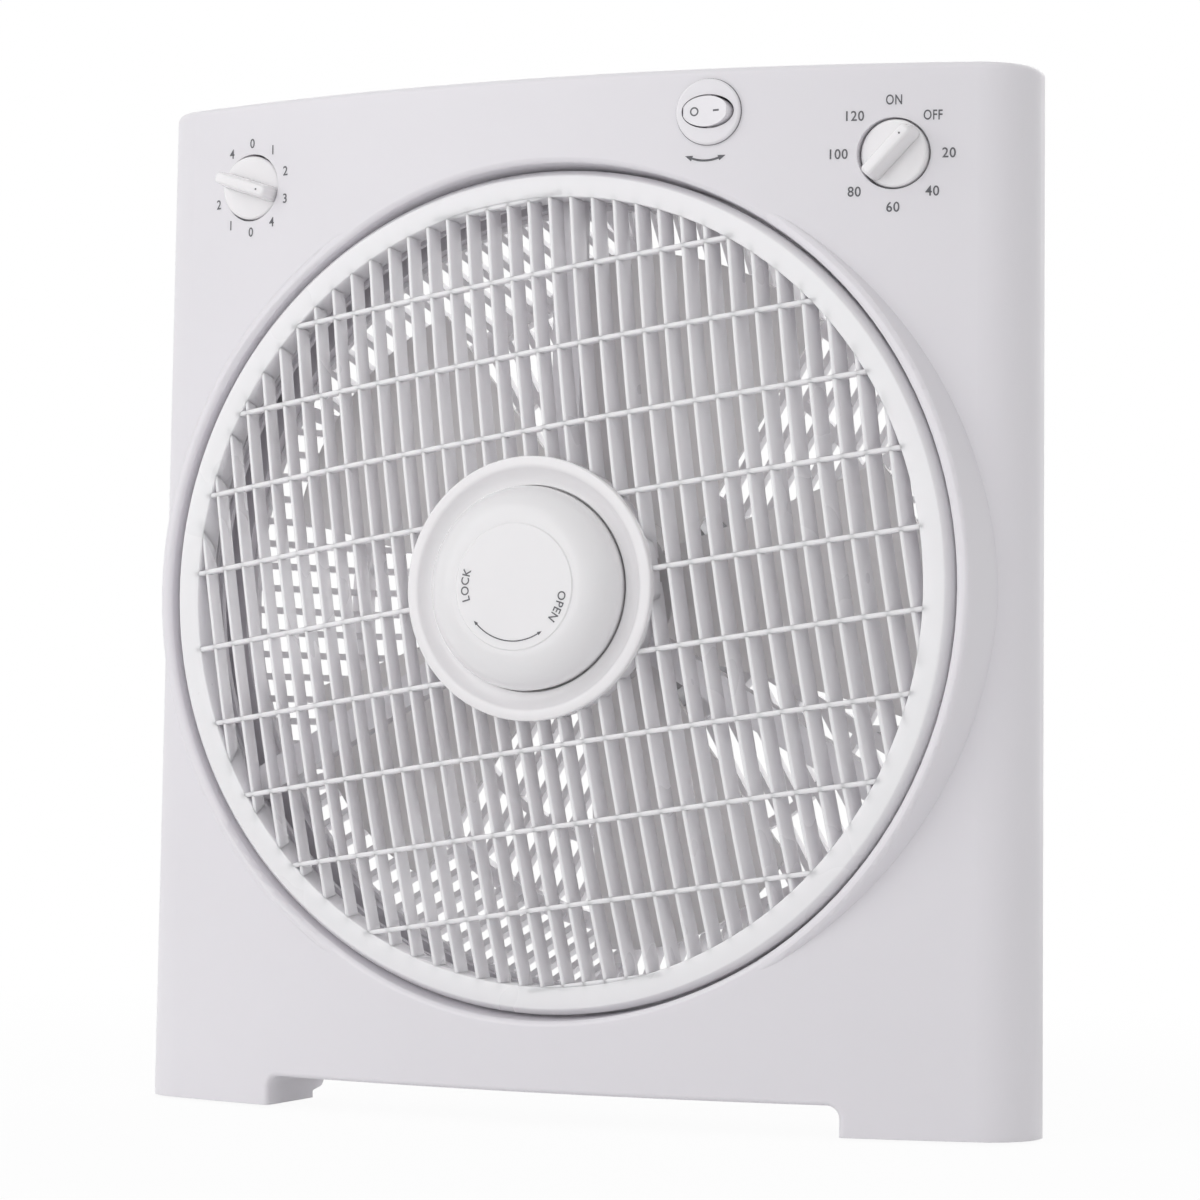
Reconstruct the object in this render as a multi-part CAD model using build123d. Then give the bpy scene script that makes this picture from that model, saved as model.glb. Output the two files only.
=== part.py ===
from build123d import *
import math
import os

# Box fan with a bowed cabinet, a turning louvre in front and a five blade fan behind it.
# Millimetres. X to the right, Y to the back, Z up. The floor is at Z = 0, and depths are
# counted backwards from the crown, the foremost line of the bowed front panel.

# Front half of the cabinet
BODY_HEIGHT = 413.6
BODY_HALF_TOP = 189.5
BODY_HALF_BASE = 192.4
BOW_RADIUS = 645.0
CORNER_R = 24.5
EDGE_R = 3.0
WALL = 2.6
PARTING_DEPTH = 52.0
ARCH_HALF = 123.0
ARCH_HEIGHT = 12.0
ARCH_CORNER_R = 5.0
ARCH_EDGE_R = 2.0

# Rear half of the cabinet, a shallow tray drawn in towards the back, with two long legs
SEAM_STEP = 0.6
REAR_BACK = 62.0
REAR_TAPER_SIDE = 3.2
REAR_TAPER_TOP = 1.6
REAR_TAPER_BASE = 1.8
REAR_LIFT = 3.0
REAR_ARCH_HEIGHT = 15.5
REAR_CORNER_R = 8.0
REAR_EDGE_R = 2.0
LEG_X = 161.5
LEG_WIDE = 12.0
LEG_TALL = 34.0
LEG_TIP_TALL = 9.0
LEG_FRONT = 56.0
LEG_BACK = 112.0
LEG_ROUND = 3.0
PAD_STAND = 1.0
PAD_R = 5.5
PAD_FRONT_X = 157.0
PAD_FRONT_DEPTH = 38.0

# Collar round the louvre
AXIS_HEIGHT = 209.6
HOLE_R = 169.6
THROAT_R = 168.6
THROAT_FRONT = 9.6
THROAT_BACK = 16.0
LIP_DEPTH = 6.6
LIP_OUT_R = 174.2
LIP_ROUND = 2.0
COLLAR_DRAFT = 16.0
COLLAR_BACK = 40.0
FLANGE_IN_R = 159.0
FLANGE_DEPTH = 32.0
FLANGE_THICK = 2.6

# Louvre
RIM_OUT_R = 167.6
RIM_FACE_R = 165.2
RIM_IN_R = 156.6
RIM_DEPTH = 6.3
RIM_WALL = 2.2
RIM_SKIRT = 13.5
RIM_FLANK = 4.2
SLAT_PITCH = 9.05
SLAT_THICK = 1.5
SLAT_DEEP = 12.0
SLAT_FOCUS = 880.0
SLAT_RECESS = 0.6
BAR_PITCH = 31.16
BAR_WIDE = 1.9
BAR_DEEP = 5.0
BAR_LIFT = 0.3
DOME_RISE = 15.5
LOUVRE_TURN = 8.7
HUB_R = 50.0
HUB_WALL = 3.0
HUB_PLATE_DEPTH = -2.2
HUB_PLATE_THICK = 3.0
HUB_BOSS_R = 9.0
HUB_BOSS_BACK = 6.0

# Hub dish and lock knob
DISH_R = 52.1
DISH_RIM_WIDE = 5.0
DISH_RIM_DEPTH = -11.2
DISH_THICK = 2.4
DISH_ROUND = 0.8
DISH_BOWL_R = 41.4
DISH_STEP_DEPTH = -8.2
DISH_STEP_FALL = 0.6
DISH_SEAT_R = 13.0
DISH_SEAT_STAND = 0.4
KNOB_R = 40.2
KNOB_WALL = 2.2
KNOB_EDGE_DEPTH = -13.0
KNOB_CROWN_DEPTH = -23.6
KNOB_CROWN_R = 25.5
KNOB_CROWN_STEP = 0.5
KNOB_SHOULDER_OUT = 3.2
KNOB_SHOULDER_UP = 1.6
KNOB_SKIRT_GAP = 1.6
KNOB_BOSS_R = 8.0
INSERT_R = 5.0
INSERT_FLOOR = 2.6
WASHER_R = 10.0
WASHER_THICK = 1.0

# Swing drive behind the louvre
SWING_SHAFT_R = 3.0
SWING_FLAT = 0.8
SWING_TIP_GAP = 2.6
SWING_COLLAR_R = 5.5
SWING_COLLAR_THICK = 2.0
SWING_MOTOR_R = 25.0
SWING_MOTOR_LONG = 18.0
SWING_CAP_R = 18.0
SWING_CAP_TALL = 1.5
SWING_EAR_R = 5.0
SWING_EAR_X = 29.0
SWING_EAR_THICK = 2.0
SPIDER_CUP_R = 38.0
SPIDER_WALL = 2.4
SPIDER_ARMS = 3
SPIDER_ARM_WIDE = 12.0
SPIDER_ARM_DEEP = 8.0
SPIDER_RING_WIDE = 7.5
SPIDER_RING_THICK = 3.0
SPIDER_SCREWS = 6

# Fan
BLADES = 5
BLADE_R = 144.0
BLADE_THICK = 2.2
BLADE_PITCH_ROOT = 31.0
BLADE_PITCH_TIP = 14.0
BLADE_MID_DEPTH = 64.0
BLADE_ROOT_R = 30.0
BLADE_ROOT_LEAD = 18.0
BLADE_ROOT_TRAIL = 24.0
BLADE_MID_R = 98.0
BLADE_MID_SWEEP = 22.8
BLADE_LEAD_R = 136.0
BLADE_LEAD_SWEEP = 22.6
BLADE_TRAIL_SWEEP = 20.6
FAN_HUB_R = 37.0
FAN_HUB_FRONT = 50.0
FAN_HUB_LONG = 27.0
FAN_HUB_WALL = 3.0
FAN_BOSS_R = 10.0
FAN_BOSS_LONG = 20.0
SPINNER_R = 15.0
SPINNER_LONG = 9.0
SPINNER_ROUND = 3.0
SPINNER_FLOOR = 2.0
FLUTES = 8
FLUTE_R = 2.2
FLUTE_OUT = 1.0
PIN_R = 1.5
PIN_LONG = 26.0

# Fan motor
SHAFT_R = 4.0
SHAFT_SHORT = 1.0
MOTOR_R = 46.0
MOTOR_FRONT = 83.0
MOTOR_LONG = 38.0
MOTOR_WALL = 2.5
MOTOR_SCREW_ORBIT = 34.0
MOTOR_SCREWS = 4
VENTS = 8
VENT_R = 5.0
VENT_ORBIT = 24.0
BUSH_R = 7.0
BUSH_LONG = 8.0
BUSH_STAND = 1.0
BUSH_BOSS_R = 10.0
STATOR_LONG = 16.0
STATOR_BORE_R = 30.0
STATOR_SLOTS = 16
STATOR_SLOT_R = 2.4
STATOR_SLOT_OUT = 4.0
AIR_GAP = 0.4
COIL_LONG = 6.0
COIL_CLEAR_OUT = 3.0
COIL_CLEAR_IN = 1.5
LUGS = 4
LUG_R = 4.5
LUG_ORBIT = 48.0

# Rear guard, a basket of bars with a flange on the back of the tray
GUARD_BACK = 130.0
LEDGE_IN_R = 161.0
LEDGE_R = 174.5
LEDGE_THICK = 6.0
GUARD_R = 173.0
GUARD_SCREW_R = 167.5
GUARD_THICK = 4.0
GUARD_FOOT_R = 163.5
GUARD_WALL = 4.5
GUARD_EDGE_R = 140.0
GUARD_EDGE_DEEP = 8.0
GUARD_BAND = 6.0
GUARD_BAND_DEPTHS = (116.5, 124.5)
GUARD_RING_PROUD = 1.0
GUARD_BAR_PITCH = 9.5
GUARD_BAR_WIDE = 2.8
GUARD_BAR_DEEP = 6.0
GUARD_SPOKES = 6
GUARD_SPOKE_WIDE = 6.0
GUARD_RING_R = 104.0
GUARD_RING_WIDE = 4.0
SEAT_R = 54.0
SEAT_THICK = 3.0
SEAT_SKIRT = 4.0

# Control knobs, shared by speed and timer
DIAL_X = 140.0
DIAL_HEIGHT = 378.0
DIAL_R = 13.2
DIAL_GAP = 0.8
DIAL_THICK = 5.0
DIAL_SINK = 0.5
DIAL_CHAMFER = 0.8
DIAL_BAR_WIDE = 6.4
DIAL_BAR_STAND = 10.5
DIAL_BAR_DRAFT = 5.0
DIAL_BAR_ROUND = 1.0
DIAL_MARK_R = 1.0
DIAL_MARK_DEEP = 0.4
DIAL_MARK_OUT = 8.2
DIAL_STEM_R = 5.0
DIAL_STEM_LONG = 3.0
DIAL_CUP_WALL = 2.2
DIAL_FLOOR_GAP = 1.6
DIAL_SHAFT_R = 3.0
DIAL_SHAFT_FLAT = 0.8
SPEED_TURN = -18.0
TIMER_TURN = 45.0
SPEED_BODY_WIDE = 30.0
SPEED_BODY_DEEP = 22.0
TIMER_BODY_WIDE = 34.0
TIMER_BODY_DEEP = 19.0
SWITCH_ROUND = 3.0
SWITCH_SCREW_X = 11.0
SWITCH_PILOT = 6.0
SWITCH_HEAD_R = 2.6
SWITCH_HEAD_TALL = 0.8

# Rocker switch
ROCKER_X = 68.0
ROCKER_HEIGHT = 396.0
BEZEL_R = 13.0
BEZEL_STAND = 1.8
BEZEL_ROUND = 1.0
BEZEL_BODY_R = 11.7
BEZEL_BODY_LONG = 16.0
ROCKER_LONG = 19.5
ROCKER_TALL = 12.0
ROCKER_SWEEP_R = 10.3
ROCKER_PIVOT_BACK = 1.2
ROCKER_STAND = 1.6
ROCKER_TILT = 11.0
ROCKER_GAP = 0.4
ROCKER_PIN_R = 1.0
ROCKER_PIN_LONG = 1.6
WINDOW_GAP_LONG = 0.85
WINDOW_GAP_TALL = 0.7
TAB_WIDE = 4.8
TAB_THICK = 0.8
TAB_LONG = 9.0
TAB_X = 4.5

# Fits, screws, grip, cord inlet and electrics
FIT = 0.05
GAP = 0.3
SCREW_R = 1.5
SCREW_HEAD_R = 3.2
SCREW_HEAD_TALL = 2.2
SCREW_SLOT_WIDE = 0.8
SCREW_SLOT_LONG = 4.2
SCREW_TIP = 2.0
SCREW_SHORT = 1.0
BOSS_R = 4.4
BOSS_PILOT = 12.0
WELL_R = 4.4
WELL_WALL = 1.8
WELL_FLOOR = 4.0
BOSS_TOP_X = 104.0
BOSS_TOP_Z = 388.0
BOSS_SIDE_X = 155.0
BOSS_SIDE_Z = 338.0
BOSS_BASE_Z = 46.0
GRIP_HALF = 55.0
GRIP_BASE_Z = 390.0
GRIP_TALL = 14.0
GRIP_DEEP = 12.0
GLAND_X = -128.0
GLAND_Z = 36.0
GLAND_R = 6.0
GLAND_BORE_R = 3.6
GLAND_FLANGE_R = 9.0
GLAND_FLANGE_THICK = 1.6
GLAND_COLLAR_R = 8.0
GLAND_COLLAR_LONG = 3.0
CAP_X = 118.0
CAP_Z = 46.0
CAP_LONG = 38.0
CAP_TALL = 28.0
CAP_DEEP = 18.0
CAP_ROUND = 4.0
BLOCK_X = -92.0
BLOCK_Z = 42.0
BLOCK_LONG = 30.0
BLOCK_TALL = 18.0
BLOCK_DEEP = 14.0
BLOCK_ROUND = 1.5
BLOCK_WAYS = 3
BLOCK_HOLE_R = 2.5
BLOCK_HOLE_DEEP = 6.0

# Values that follow from the ones above
BASE_Z = PAD_STAND
AXIS_Z = BASE_Z + AXIS_HEIGHT
DIAL_Z = BASE_Z + DIAL_HEIGHT
KNOB_STAND = -KNOB_CROWN_DEPTH + KNOB_CROWN_STEP
CROWN_Y = -(GUARD_BACK - KNOB_STAND) / 2
CROWN_LOCAL = -CROWN_Y
REAR_WALL_FRONT = REAR_BACK - WALL
DOME_R = (RIM_IN_R ** 2 + DOME_RISE ** 2) / (2 * DOME_RISE)
DOME_CENTRE_DEPTH = RIM_DEPTH + SLAT_RECESS - DOME_RISE + DOME_R
DISH_BACK = HUB_PLATE_DEPTH
DISH_FLOOR = DISH_BACK - DISH_THICK
DISH_SEAT = DISH_FLOOR - DISH_SEAT_STAND
WASHER_FRONT = DISH_SEAT - WASHER_THICK
KNOB_SKIRT = DISH_FLOOR - KNOB_SKIRT_GAP
SWING_COLLAR_BACK = HUB_BOSS_BACK + SWING_COLLAR_THICK
SPIDER_FRONT = SWING_COLLAR_BACK + GAP
SWING_MOTOR_FRONT = SPIDER_FRONT + SPIDER_WALL
SWING_EAR_BACK = SWING_MOTOR_FRONT + SWING_EAR_THICK
SWING_SHAFT_BACK = SWING_MOTOR_FRONT + SWING_MOTOR_LONG / 2
SPIDER_RING_DEPTH = FLANGE_DEPTH - SPIDER_RING_THICK
SPIDER_RING_OUT_R = THROAT_R - GAP
SPIDER_SCREW_R = SPIDER_RING_OUT_R - SPIDER_RING_WIDE / 2
FAN_BOSS_BACK = FAN_HUB_FRONT + FAN_BOSS_LONG
SPINNER_FRONT = FAN_HUB_FRONT - SPINNER_LONG
MOTOR_BACK = MOTOR_FRONT + MOTOR_LONG
MOTOR_SPLIT = MOTOR_FRONT + MOTOR_LONG / 2
STATOR_FRONT = MOTOR_SPLIT - STATOR_LONG / 2
STATOR_BACK = STATOR_FRONT + STATOR_LONG
GUARD_FLANGE_BACK = REAR_BACK + GUARD_THICK
GUARD_BAR_FRONT = GUARD_BACK - GUARD_BAR_DEEP
LEDGE_FRONT = REAR_BACK - LEDGE_THICK
SEAT_FRONT = MOTOR_BACK
SEAT_BACK = SEAT_FRONT + SEAT_THICK


def bow_depth(x):
    """Depth of the bowed panel at a distance x from the middle."""
    return BOW_RADIUS - math.sqrt(BOW_RADIUS ** 2 - x ** 2)


def at(x, depth, z):
    """Place given by its depth behind the crown."""
    return Pos(x, CROWN_Y + depth, z)


def polar(radius, degrees):
    """Point at a radius and an angle."""
    return (radius * math.cos(math.radians(degrees)), radius * math.sin(math.radians(degrees)))


def rod(radius, front, back, x=0.0, z=AXIS_Z):
    """Round bar along Y between two depths."""
    bar = Cylinder(radius, back - front, align=(Align.CENTER, Align.CENTER, Align.MIN))
    return at(x, front, z) * Rot(-90, 0, 0) * bar


def tube(outer, inner, front, back):
    """Round tube on the fan axis between two depths."""
    return rod(outer, front, back) - rod(inner, front, back)


def block(x, z, wide, tall, front, back):
    """Box centred on x and z between two depths."""
    box = Box(wide, back - front, tall, align=(Align.CENTER, Align.MIN, Align.CENTER))
    return at(x, front, z) * box


def turned(*outline):
    """Solid turned about the fan axis from points or edges of (radius, depth)."""
    if isinstance(outline[0], tuple):
        face = make_face(Polyline(*outline, close=True))
    else:
        face = make_face(outline)
    return at(0, 0, AXIS_Z) * revolve(face, Axis.Y)


def flatted_rod(radius, flat, front, back, x=0.0, z=AXIS_Z):
    """Round bar with one flat, as on a knob shaft."""
    bar = rod(radius, front, back, x, z)
    return bar - block(x, z + 2 * radius - flat, 4 * radius, 2 * radius, front, back)


def screw(front, back, head_front=False):
    """Pan head screw along Y on the origin, its head at the back or at the front."""
    shank = rod(SCREW_R, front, back, 0, 0)
    if head_front:
        outside = front - SCREW_HEAD_TALL
        head = rod(SCREW_HEAD_R, outside, front, 0, 0)
        slot = block(0, 0, SCREW_SLOT_LONG, SCREW_SLOT_WIDE, outside, outside + SCREW_HEAD_TALL / 2)
    else:
        outside = back + SCREW_HEAD_TALL
        head = rod(SCREW_HEAD_R, back, outside, 0, 0)
        slot = block(0, 0, SCREW_SLOT_LONG, SCREW_SLOT_WIDE, outside - SCREW_HEAD_TALL / 2, outside)
    return shank + head - slot - Rot(0, 90, 0) * slot


def ring_places(radius, count, start=0.0):
    """Places round the fan axis."""
    spots = [polar(radius, start + 360.0 * i / count) for i in range(count)]
    return [(x, AXIS_Z + z) for x, z in spots]


def group(solids):
    """Several loose solids as one piece."""
    return Compound(children=[s.solid() for s in solids])


def trapezoid(half_base, half_top, base, top):
    """Front view of the cabinet, a little wider at its foot."""
    corners = [(-half_base, base), (half_base, base), (half_top, top), (-half_top, top)]
    return make_face(Polyline(*corners, close=True))


def envelope(inset, edge_r=0.0):
    """Outer form of the bowed front half, drawn in by inset on every side."""
    top = BASE_Z + BODY_HEIGHT - inset
    view = trapezoid(BODY_HALF_BASE - inset, BODY_HALF_TOP - inset, BASE_Z + inset, top)
    slab = extrude(Plane.XZ * view, -PARTING_DEPTH)
    bow = Pos(0, BOW_RADIUS, BODY_HEIGHT / 2) * Cylinder(BOW_RADIUS - inset, 2 * BODY_HEIGHT)
    form = Pos(0, CROWN_Y, 0) * (slab & bow)
    uprights = form.edges().filter_by(lambda e: abs((e @ 1 - e @ 0).Z) > BODY_HEIGHT / 2)
    form = fillet(uprights.sort_by(Axis.Y)[:2], CORNER_R - inset)
    if edge_r > 0:
        lid = form.faces().sort_by(Axis.Z)[-1].edges()
        form = fillet(lid.sort_by(Axis.Y)[:-1], edge_r)
    return form


def rear_outline(inset, share, draw=0.0):
    """Outline of the rear half at a share of the way from the seam to the back."""
    step = SEAM_STEP + inset + draw + REAR_TAPER_SIDE * share
    base = BASE_Z + REAR_LIFT + inset + draw + REAR_TAPER_BASE * share
    top = BASE_Z + BODY_HEIGHT - SEAM_STEP - inset - draw - REAR_TAPER_TOP * share
    view = trapezoid(BODY_HALF_BASE - step, BODY_HALF_TOP - step, base, top)
    view = fillet(view.vertices(), EDGE_R + (REAR_CORNER_R - EDGE_R) * share - draw)
    depth = PARTING_DEPTH + (REAR_BACK - inset - PARTING_DEPTH) * share
    return Pos(0, CROWN_Y + depth, 0) * (Plane.XZ * view)


def tub():
    """Outer form of the rear half, with a bevelled edge round its back."""
    bevel_start = 1 - REAR_EDGE_R / (REAR_BACK - PARTING_DEPTH)
    outlines = [rear_outline(0, 0), rear_outline(0, bevel_start), rear_outline(0, 1, REAR_EDGE_R)]
    return loft(outlines, ruled=True)


def tub_hollow():
    """Inside of the rear half, a wall in from its outer form."""
    return loft([rear_outline(WALL, 0), rear_outline(WALL, 1)], ruled=True)


def arch(height, grow=0.0):
    """Space between the feet, grown by a wall."""
    tall = height + grow + PAD_STAND + WALL
    view = Pos(0, BASE_Z + height + grow - tall / 2) * Rectangle(2 * (ARCH_HALF + grow), tall)
    view = fillet(view.vertices().sort_by(Axis.Y)[-2:], ARCH_CORNER_R + grow)
    return Pos(0, CROWN_Y - EDGE_R, 0) * extrude(Plane.XZ * view, -(GUARD_BACK + 2 * EDGE_R))


def collar(grow=0.0):
    """Drafted collar round the louvre, drawn in by a wall when grow is negative."""
    lip_r = LIP_OUT_R + grow
    lip = LIP_DEPTH - grow
    slope = math.radians(COLLAR_DRAFT)
    base_r = lip_r + (COLLAR_BACK - LIP_DEPTH) * math.tan(slope)
    corner = LIP_ROUND * math.tan(math.radians(45 - COLLAR_DRAFT / 2))
    start = (lip_r - corner, lip)
    end = (lip_r + corner * math.sin(slope), lip + corner * math.cos(slope))
    round_edge = TangentArc(start, end, tangent=(1, 0))
    run = Polyline(end, (base_r, COLLAR_BACK), (0, COLLAR_BACK), (0, lip), start)
    return turned(round_edge, run)


def throat(grow, front, back):
    """Round opening for the louvre, a little narrower behind the rim, grown by a wall."""
    mouth = [(HOLE_R + grow, front), (HOLE_R + grow, THROAT_FRONT + grow)]
    neck = [(THROAT_R + grow, THROAT_BACK + grow), (THROAT_R + grow, back)]
    return turned((0, front), *mouth, *neck, (0, back))


def dial_face():
    """Depth of the face of a control knob."""
    return bow_depth(DIAL_X) - DIAL_SINK


def dial_floor():
    """Depth of the floor of a control knob's cup."""
    return dial_face() + DIAL_THICK + DIAL_FLOOR_GAP


def switch_front():
    """Depth of the front of the rotary controls, behind the cups."""
    return dial_floor() + DIAL_CUP_WALL


def boss_places():
    """Places of the screws that join the two halves of the cabinet."""
    right = [(BOSS_TOP_X, BOSS_TOP_Z), (BOSS_SIDE_X, BOSS_SIDE_Z), (BOSS_SIDE_X, BOSS_BASE_Z)]
    return right + [(-x, z) for x, z in right]


def on_mouth(edge):
    """Tells the front edge of the round opening."""
    middle = edge @ 0.5
    off = abs(math.hypot(middle.X, middle.Z - AXIS_Z) - HOLE_R)
    return off < FIT and edge.bounding_box().max.Y < CROWN_Y + THROAT_FRONT - FIT


def on_arch(edge):
    """Tells the edges where the bowed panel meets the space between the feet."""
    ends = [edge @ 0, edge @ 0.5, edge @ 1]
    low = all(p.Z < BASE_Z + ARCH_HEIGHT + GAP and abs(p.X) < ARCH_HALF + GAP for p in ends)
    return low and all(abs(p.Y - CROWN_Y - bow_depth(p.X)) < FIT for p in ends)


def front_housing():
    """Bowed front half: panel, collar, knob cups, rocker hole, screw bosses and front feet."""
    form = envelope(0, EDGE_R) + collar()
    hollow = envelope(WALL) + collar(-WALL)
    shell = form - arch(ARCH_HEIGHT) - (hollow - arch(ARCH_HEIGHT, WALL))
    shell += throat(WALL, 0, FLANGE_DEPTH + FLANGE_THICK) & form
    for x, z in boss_places():
        shell += rod(BOSS_R, bow_depth(x) + WALL / 2, PARTING_DEPTH, x, z)
    for x in (-DIAL_X, DIAL_X):
        shell += rod(DIAL_R + DIAL_GAP + DIAL_CUP_WALL, 0, switch_front(), x, DIAL_Z) & form
    shell -= throat(0, -EDGE_R, FLANGE_DEPTH)
    shell -= rod(FLANGE_IN_R, 0, PARTING_DEPTH)
    for x, z in ring_places(SPIDER_SCREW_R, SPIDER_SCREWS, 30):
        shell -= rod(SCREW_R + FIT, 0, PARTING_DEPTH, x, z)
    for x, z in boss_places():
        shell -= rod(SCREW_R + FIT, PARTING_DEPTH - BOSS_PILOT, PARTING_DEPTH, x, z)
    for x in (-DIAL_X, DIAL_X):
        shell -= rod(DIAL_R + DIAL_GAP, -EDGE_R, dial_floor(), x, DIAL_Z)
        shell -= rod(DIAL_STEM_R + DIAL_GAP, 0, PARTING_DEPTH, x, DIAL_Z)
        for off in (-SWITCH_SCREW_X, SWITCH_SCREW_X):
            shell -= rod(SCREW_R + FIT, dial_floor(), switch_front(), x + off, DIAL_Z)
    hole = rod(BEZEL_BODY_R + FIT, CROWN_LOCAL - 2 * WALL, CROWN_LOCAL + 3 * WALL, 0, 0)
    shell -= rocker_frame() * hole
    shell = fillet(shell.edges().filter_by(on_mouth), LIP_ROUND)
    return fillet(shell.edges().filter_by(on_arch), ARCH_EDGE_R)


def rocker_frame():
    """Frame of the rocker switch, square to the bowed panel at its place."""
    lean = math.degrees(math.asin(ROCKER_X / BOW_RADIUS))
    return at(ROCKER_X, bow_depth(ROCKER_X), BASE_Z + ROCKER_HEIGHT) * Rot(0, 0, lean)


def leg(x):
    """Long rear leg that carries the weight of the motor, lower towards its end."""
    low = [(LEG_FRONT, 0), (LEG_BACK, 0), (LEG_BACK, LEG_TIP_TALL)]
    side = make_face(Polyline(*low, (REAR_BACK, LEG_TALL), (LEG_FRONT, LEG_TALL), close=True))
    form = extrude(Plane.YZ * side, LEG_WIDE / 2, both=True)
    return at(x, 0, BASE_Z) * fillet(form.edges().filter_by(Axis.Z), LEG_ROUND)


def rear_housing():
    """Rear half: shallow tray with a round opening, grip, screw wells and rear legs."""
    form = tub() + leg(-LEG_X) + leg(LEG_X)
    hollow = tub_hollow() - arch(REAR_ARCH_HEIGHT, WALL)
    shell = form - arch(REAR_ARCH_HEIGHT) - hollow
    shell += tube(LEDGE_R, LEDGE_IN_R, LEDGE_FRONT, REAR_BACK)
    for x, z in boss_places():
        shell += rod(WELL_R + WELL_WALL, PARTING_DEPTH, REAR_BACK, x, z)
    grip_z = GRIP_BASE_Z + GRIP_TALL / 2
    grip_front = REAR_BACK - GRIP_DEEP
    shell += block(0, grip_z, 2 * (GRIP_HALF + WALL), GRIP_TALL + 2 * WALL, grip_front - WALL, REAR_BACK)
    shell -= block(0, grip_z, 2 * GRIP_HALF, GRIP_TALL, grip_front, GUARD_BACK)
    shell -= rod(LEDGE_IN_R, PARTING_DEPTH, GUARD_BACK)
    for x, z in boss_places():
        shell -= rod(WELL_R, PARTING_DEPTH + WELL_FLOOR, GUARD_BACK, x, z)
        shell -= rod(SCREW_R + GAP, 0, GUARD_BACK, x, z)
    for x, z in ring_places(GUARD_SCREW_R, GUARD_SPOKES, 30):
        shell -= rod(SCREW_R + FIT, PARTING_DEPTH, GUARD_BACK, x, z)
    return shell - rod(GLAND_R + FIT, PARTING_DEPTH, GUARD_BACK, GLAND_X, GLAND_Z)


def guard_bar(off, wide):
    """Bar of the rear guard at a distance from the axis: drafted side, bevelled edge, flat back."""
    foot = REAR_BACK + GUARD_THICK / 2
    bevel = (GUARD_EDGE_R, GUARD_BACK - GUARD_EDGE_DEEP)
    outer = [(GUARD_EDGE_R - GUARD_EDGE_DEEP, GUARD_BACK), bevel, (GUARD_FOOT_R, foot)]
    inner = [(GUARD_FOOT_R - GUARD_WALL, foot), (GUARD_EDGE_R - GUARD_BAND, GUARD_BAR_FRONT)]
    bend = [(math.sqrt(radius ** 2 - off ** 2), depth) for radius, depth in outer + inner]
    side = make_face(Polyline((0, GUARD_BACK), *bend, (0, GUARD_BAR_FRONT), close=True))
    return at(0, 0, off) * extrude(side, wide / 2, both=True)


def guard_sector():
    """Bars of one sector of the rear guard, level with the sector's middle, and its spoke."""
    root = SEAT_R - SEAT_SKIRT / 2
    slope = math.tan(math.radians(180 / GUARD_SPOKES))
    reach = GUARD_FOOT_R - GUARD_WALL - GUARD_BAR_PITCH / 2
    spoke = guard_bar(0, GUARD_SPOKE_WIDE) - block(0, 0, 2 * root, 2 * root, REAR_BACK, GUARD_BACK)
    pieces = [Rot(0, 180 / GUARD_SPOKES, 0) * spoke]
    for j in range(int(reach / GUARD_BAR_PITCH)):
        off = (j + 0.5) * GUARD_BAR_PITCH
        near = off / slope
        if off < root:
            near = max(near, math.sqrt(root ** 2 - off ** 2))
        if math.hypot(near, off) < reach:
            for z in (-off, off):
                cut = block(0, z, 2 * near, 2 * GUARD_BAR_WIDE, REAR_BACK, GUARD_BACK)
                pieces.append(guard_bar(z, GUARD_BAR_WIDE) - cut)
    return pieces


def rear_grille():
    """Basket guard with six sectors of parallel bars, a flange and the seat of the motor."""
    guard = tube(GUARD_R, GUARD_FOOT_R - GUARD_WALL, REAR_BACK, GUARD_FLANGE_BACK)
    guard += tube(GUARD_EDGE_R + GUARD_RING_PROUD, GUARD_EDGE_R - GUARD_BAND, *GUARD_BAND_DEPTHS)
    guard += tube(GUARD_RING_R + GUARD_RING_WIDE, GUARD_RING_R, GUARD_BAR_FRONT, GUARD_BACK)
    guard += tube(SEAT_R, SEAT_R - SEAT_SKIRT, SEAT_FRONT, GUARD_BACK)
    guard += rod(SEAT_R, SEAT_FRONT, SEAT_BACK)
    sector = guard_sector()
    pieces = []
    for k in range(GUARD_SPOKES):
        turn = Pos(0, 0, AXIS_Z) * Rot(0, -360.0 * k / GUARD_SPOKES, 0)
        pieces += [turn * piece for piece in sector]
    guard += pieces
    for x, z in ring_places(GUARD_SCREW_R, GUARD_SPOKES, 30):
        guard -= rod(SCREW_R + FIT, REAR_BACK, GUARD_FLANGE_BACK, x, z)
        guard -= rod(SCREW_HEAD_R + GAP, GUARD_FLANGE_BACK - SCREW_HEAD_TALL, GUARD_FLANGE_BACK, x, z)
    for x, z in ring_places(MOTOR_SCREW_ORBIT, MOTOR_SCREWS, 45):
        guard -= rod(SCREW_R + FIT, SEAT_FRONT, SEAT_BACK, x, z)
    return guard - rod(BUSH_BOSS_R, SEAT_FRONT, SEAT_BACK)


def dome_depth(radius):
    """Depth of the louvre's domed front at a radius."""
    return DOME_CENTRE_DEPTH - math.sqrt(DOME_R ** 2 - radius ** 2)


def dome_arc(inner_r, outer_r, offset):
    """Arc of the louvre's dome between two radii, moved back by offset."""
    radii = [inner_r, (inner_r + outer_r) / 2, outer_r]
    return ThreePointArc(*[(r, dome_depth(r) + offset) for r in radii])


def dome_shell(deep, lift=0.0):
    """Slice of the louvre's dome, of a given depth, from the hub to the rim."""
    outer_r = RIM_IN_R + RIM_WALL / 2
    front = dome_arc(HUB_R, outer_r, -lift)
    back = dome_arc(outer_r, HUB_R, deep)
    return turned(front, Line(front @ 1, back @ 0), back, Line(back @ 1, front @ 0))


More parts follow.
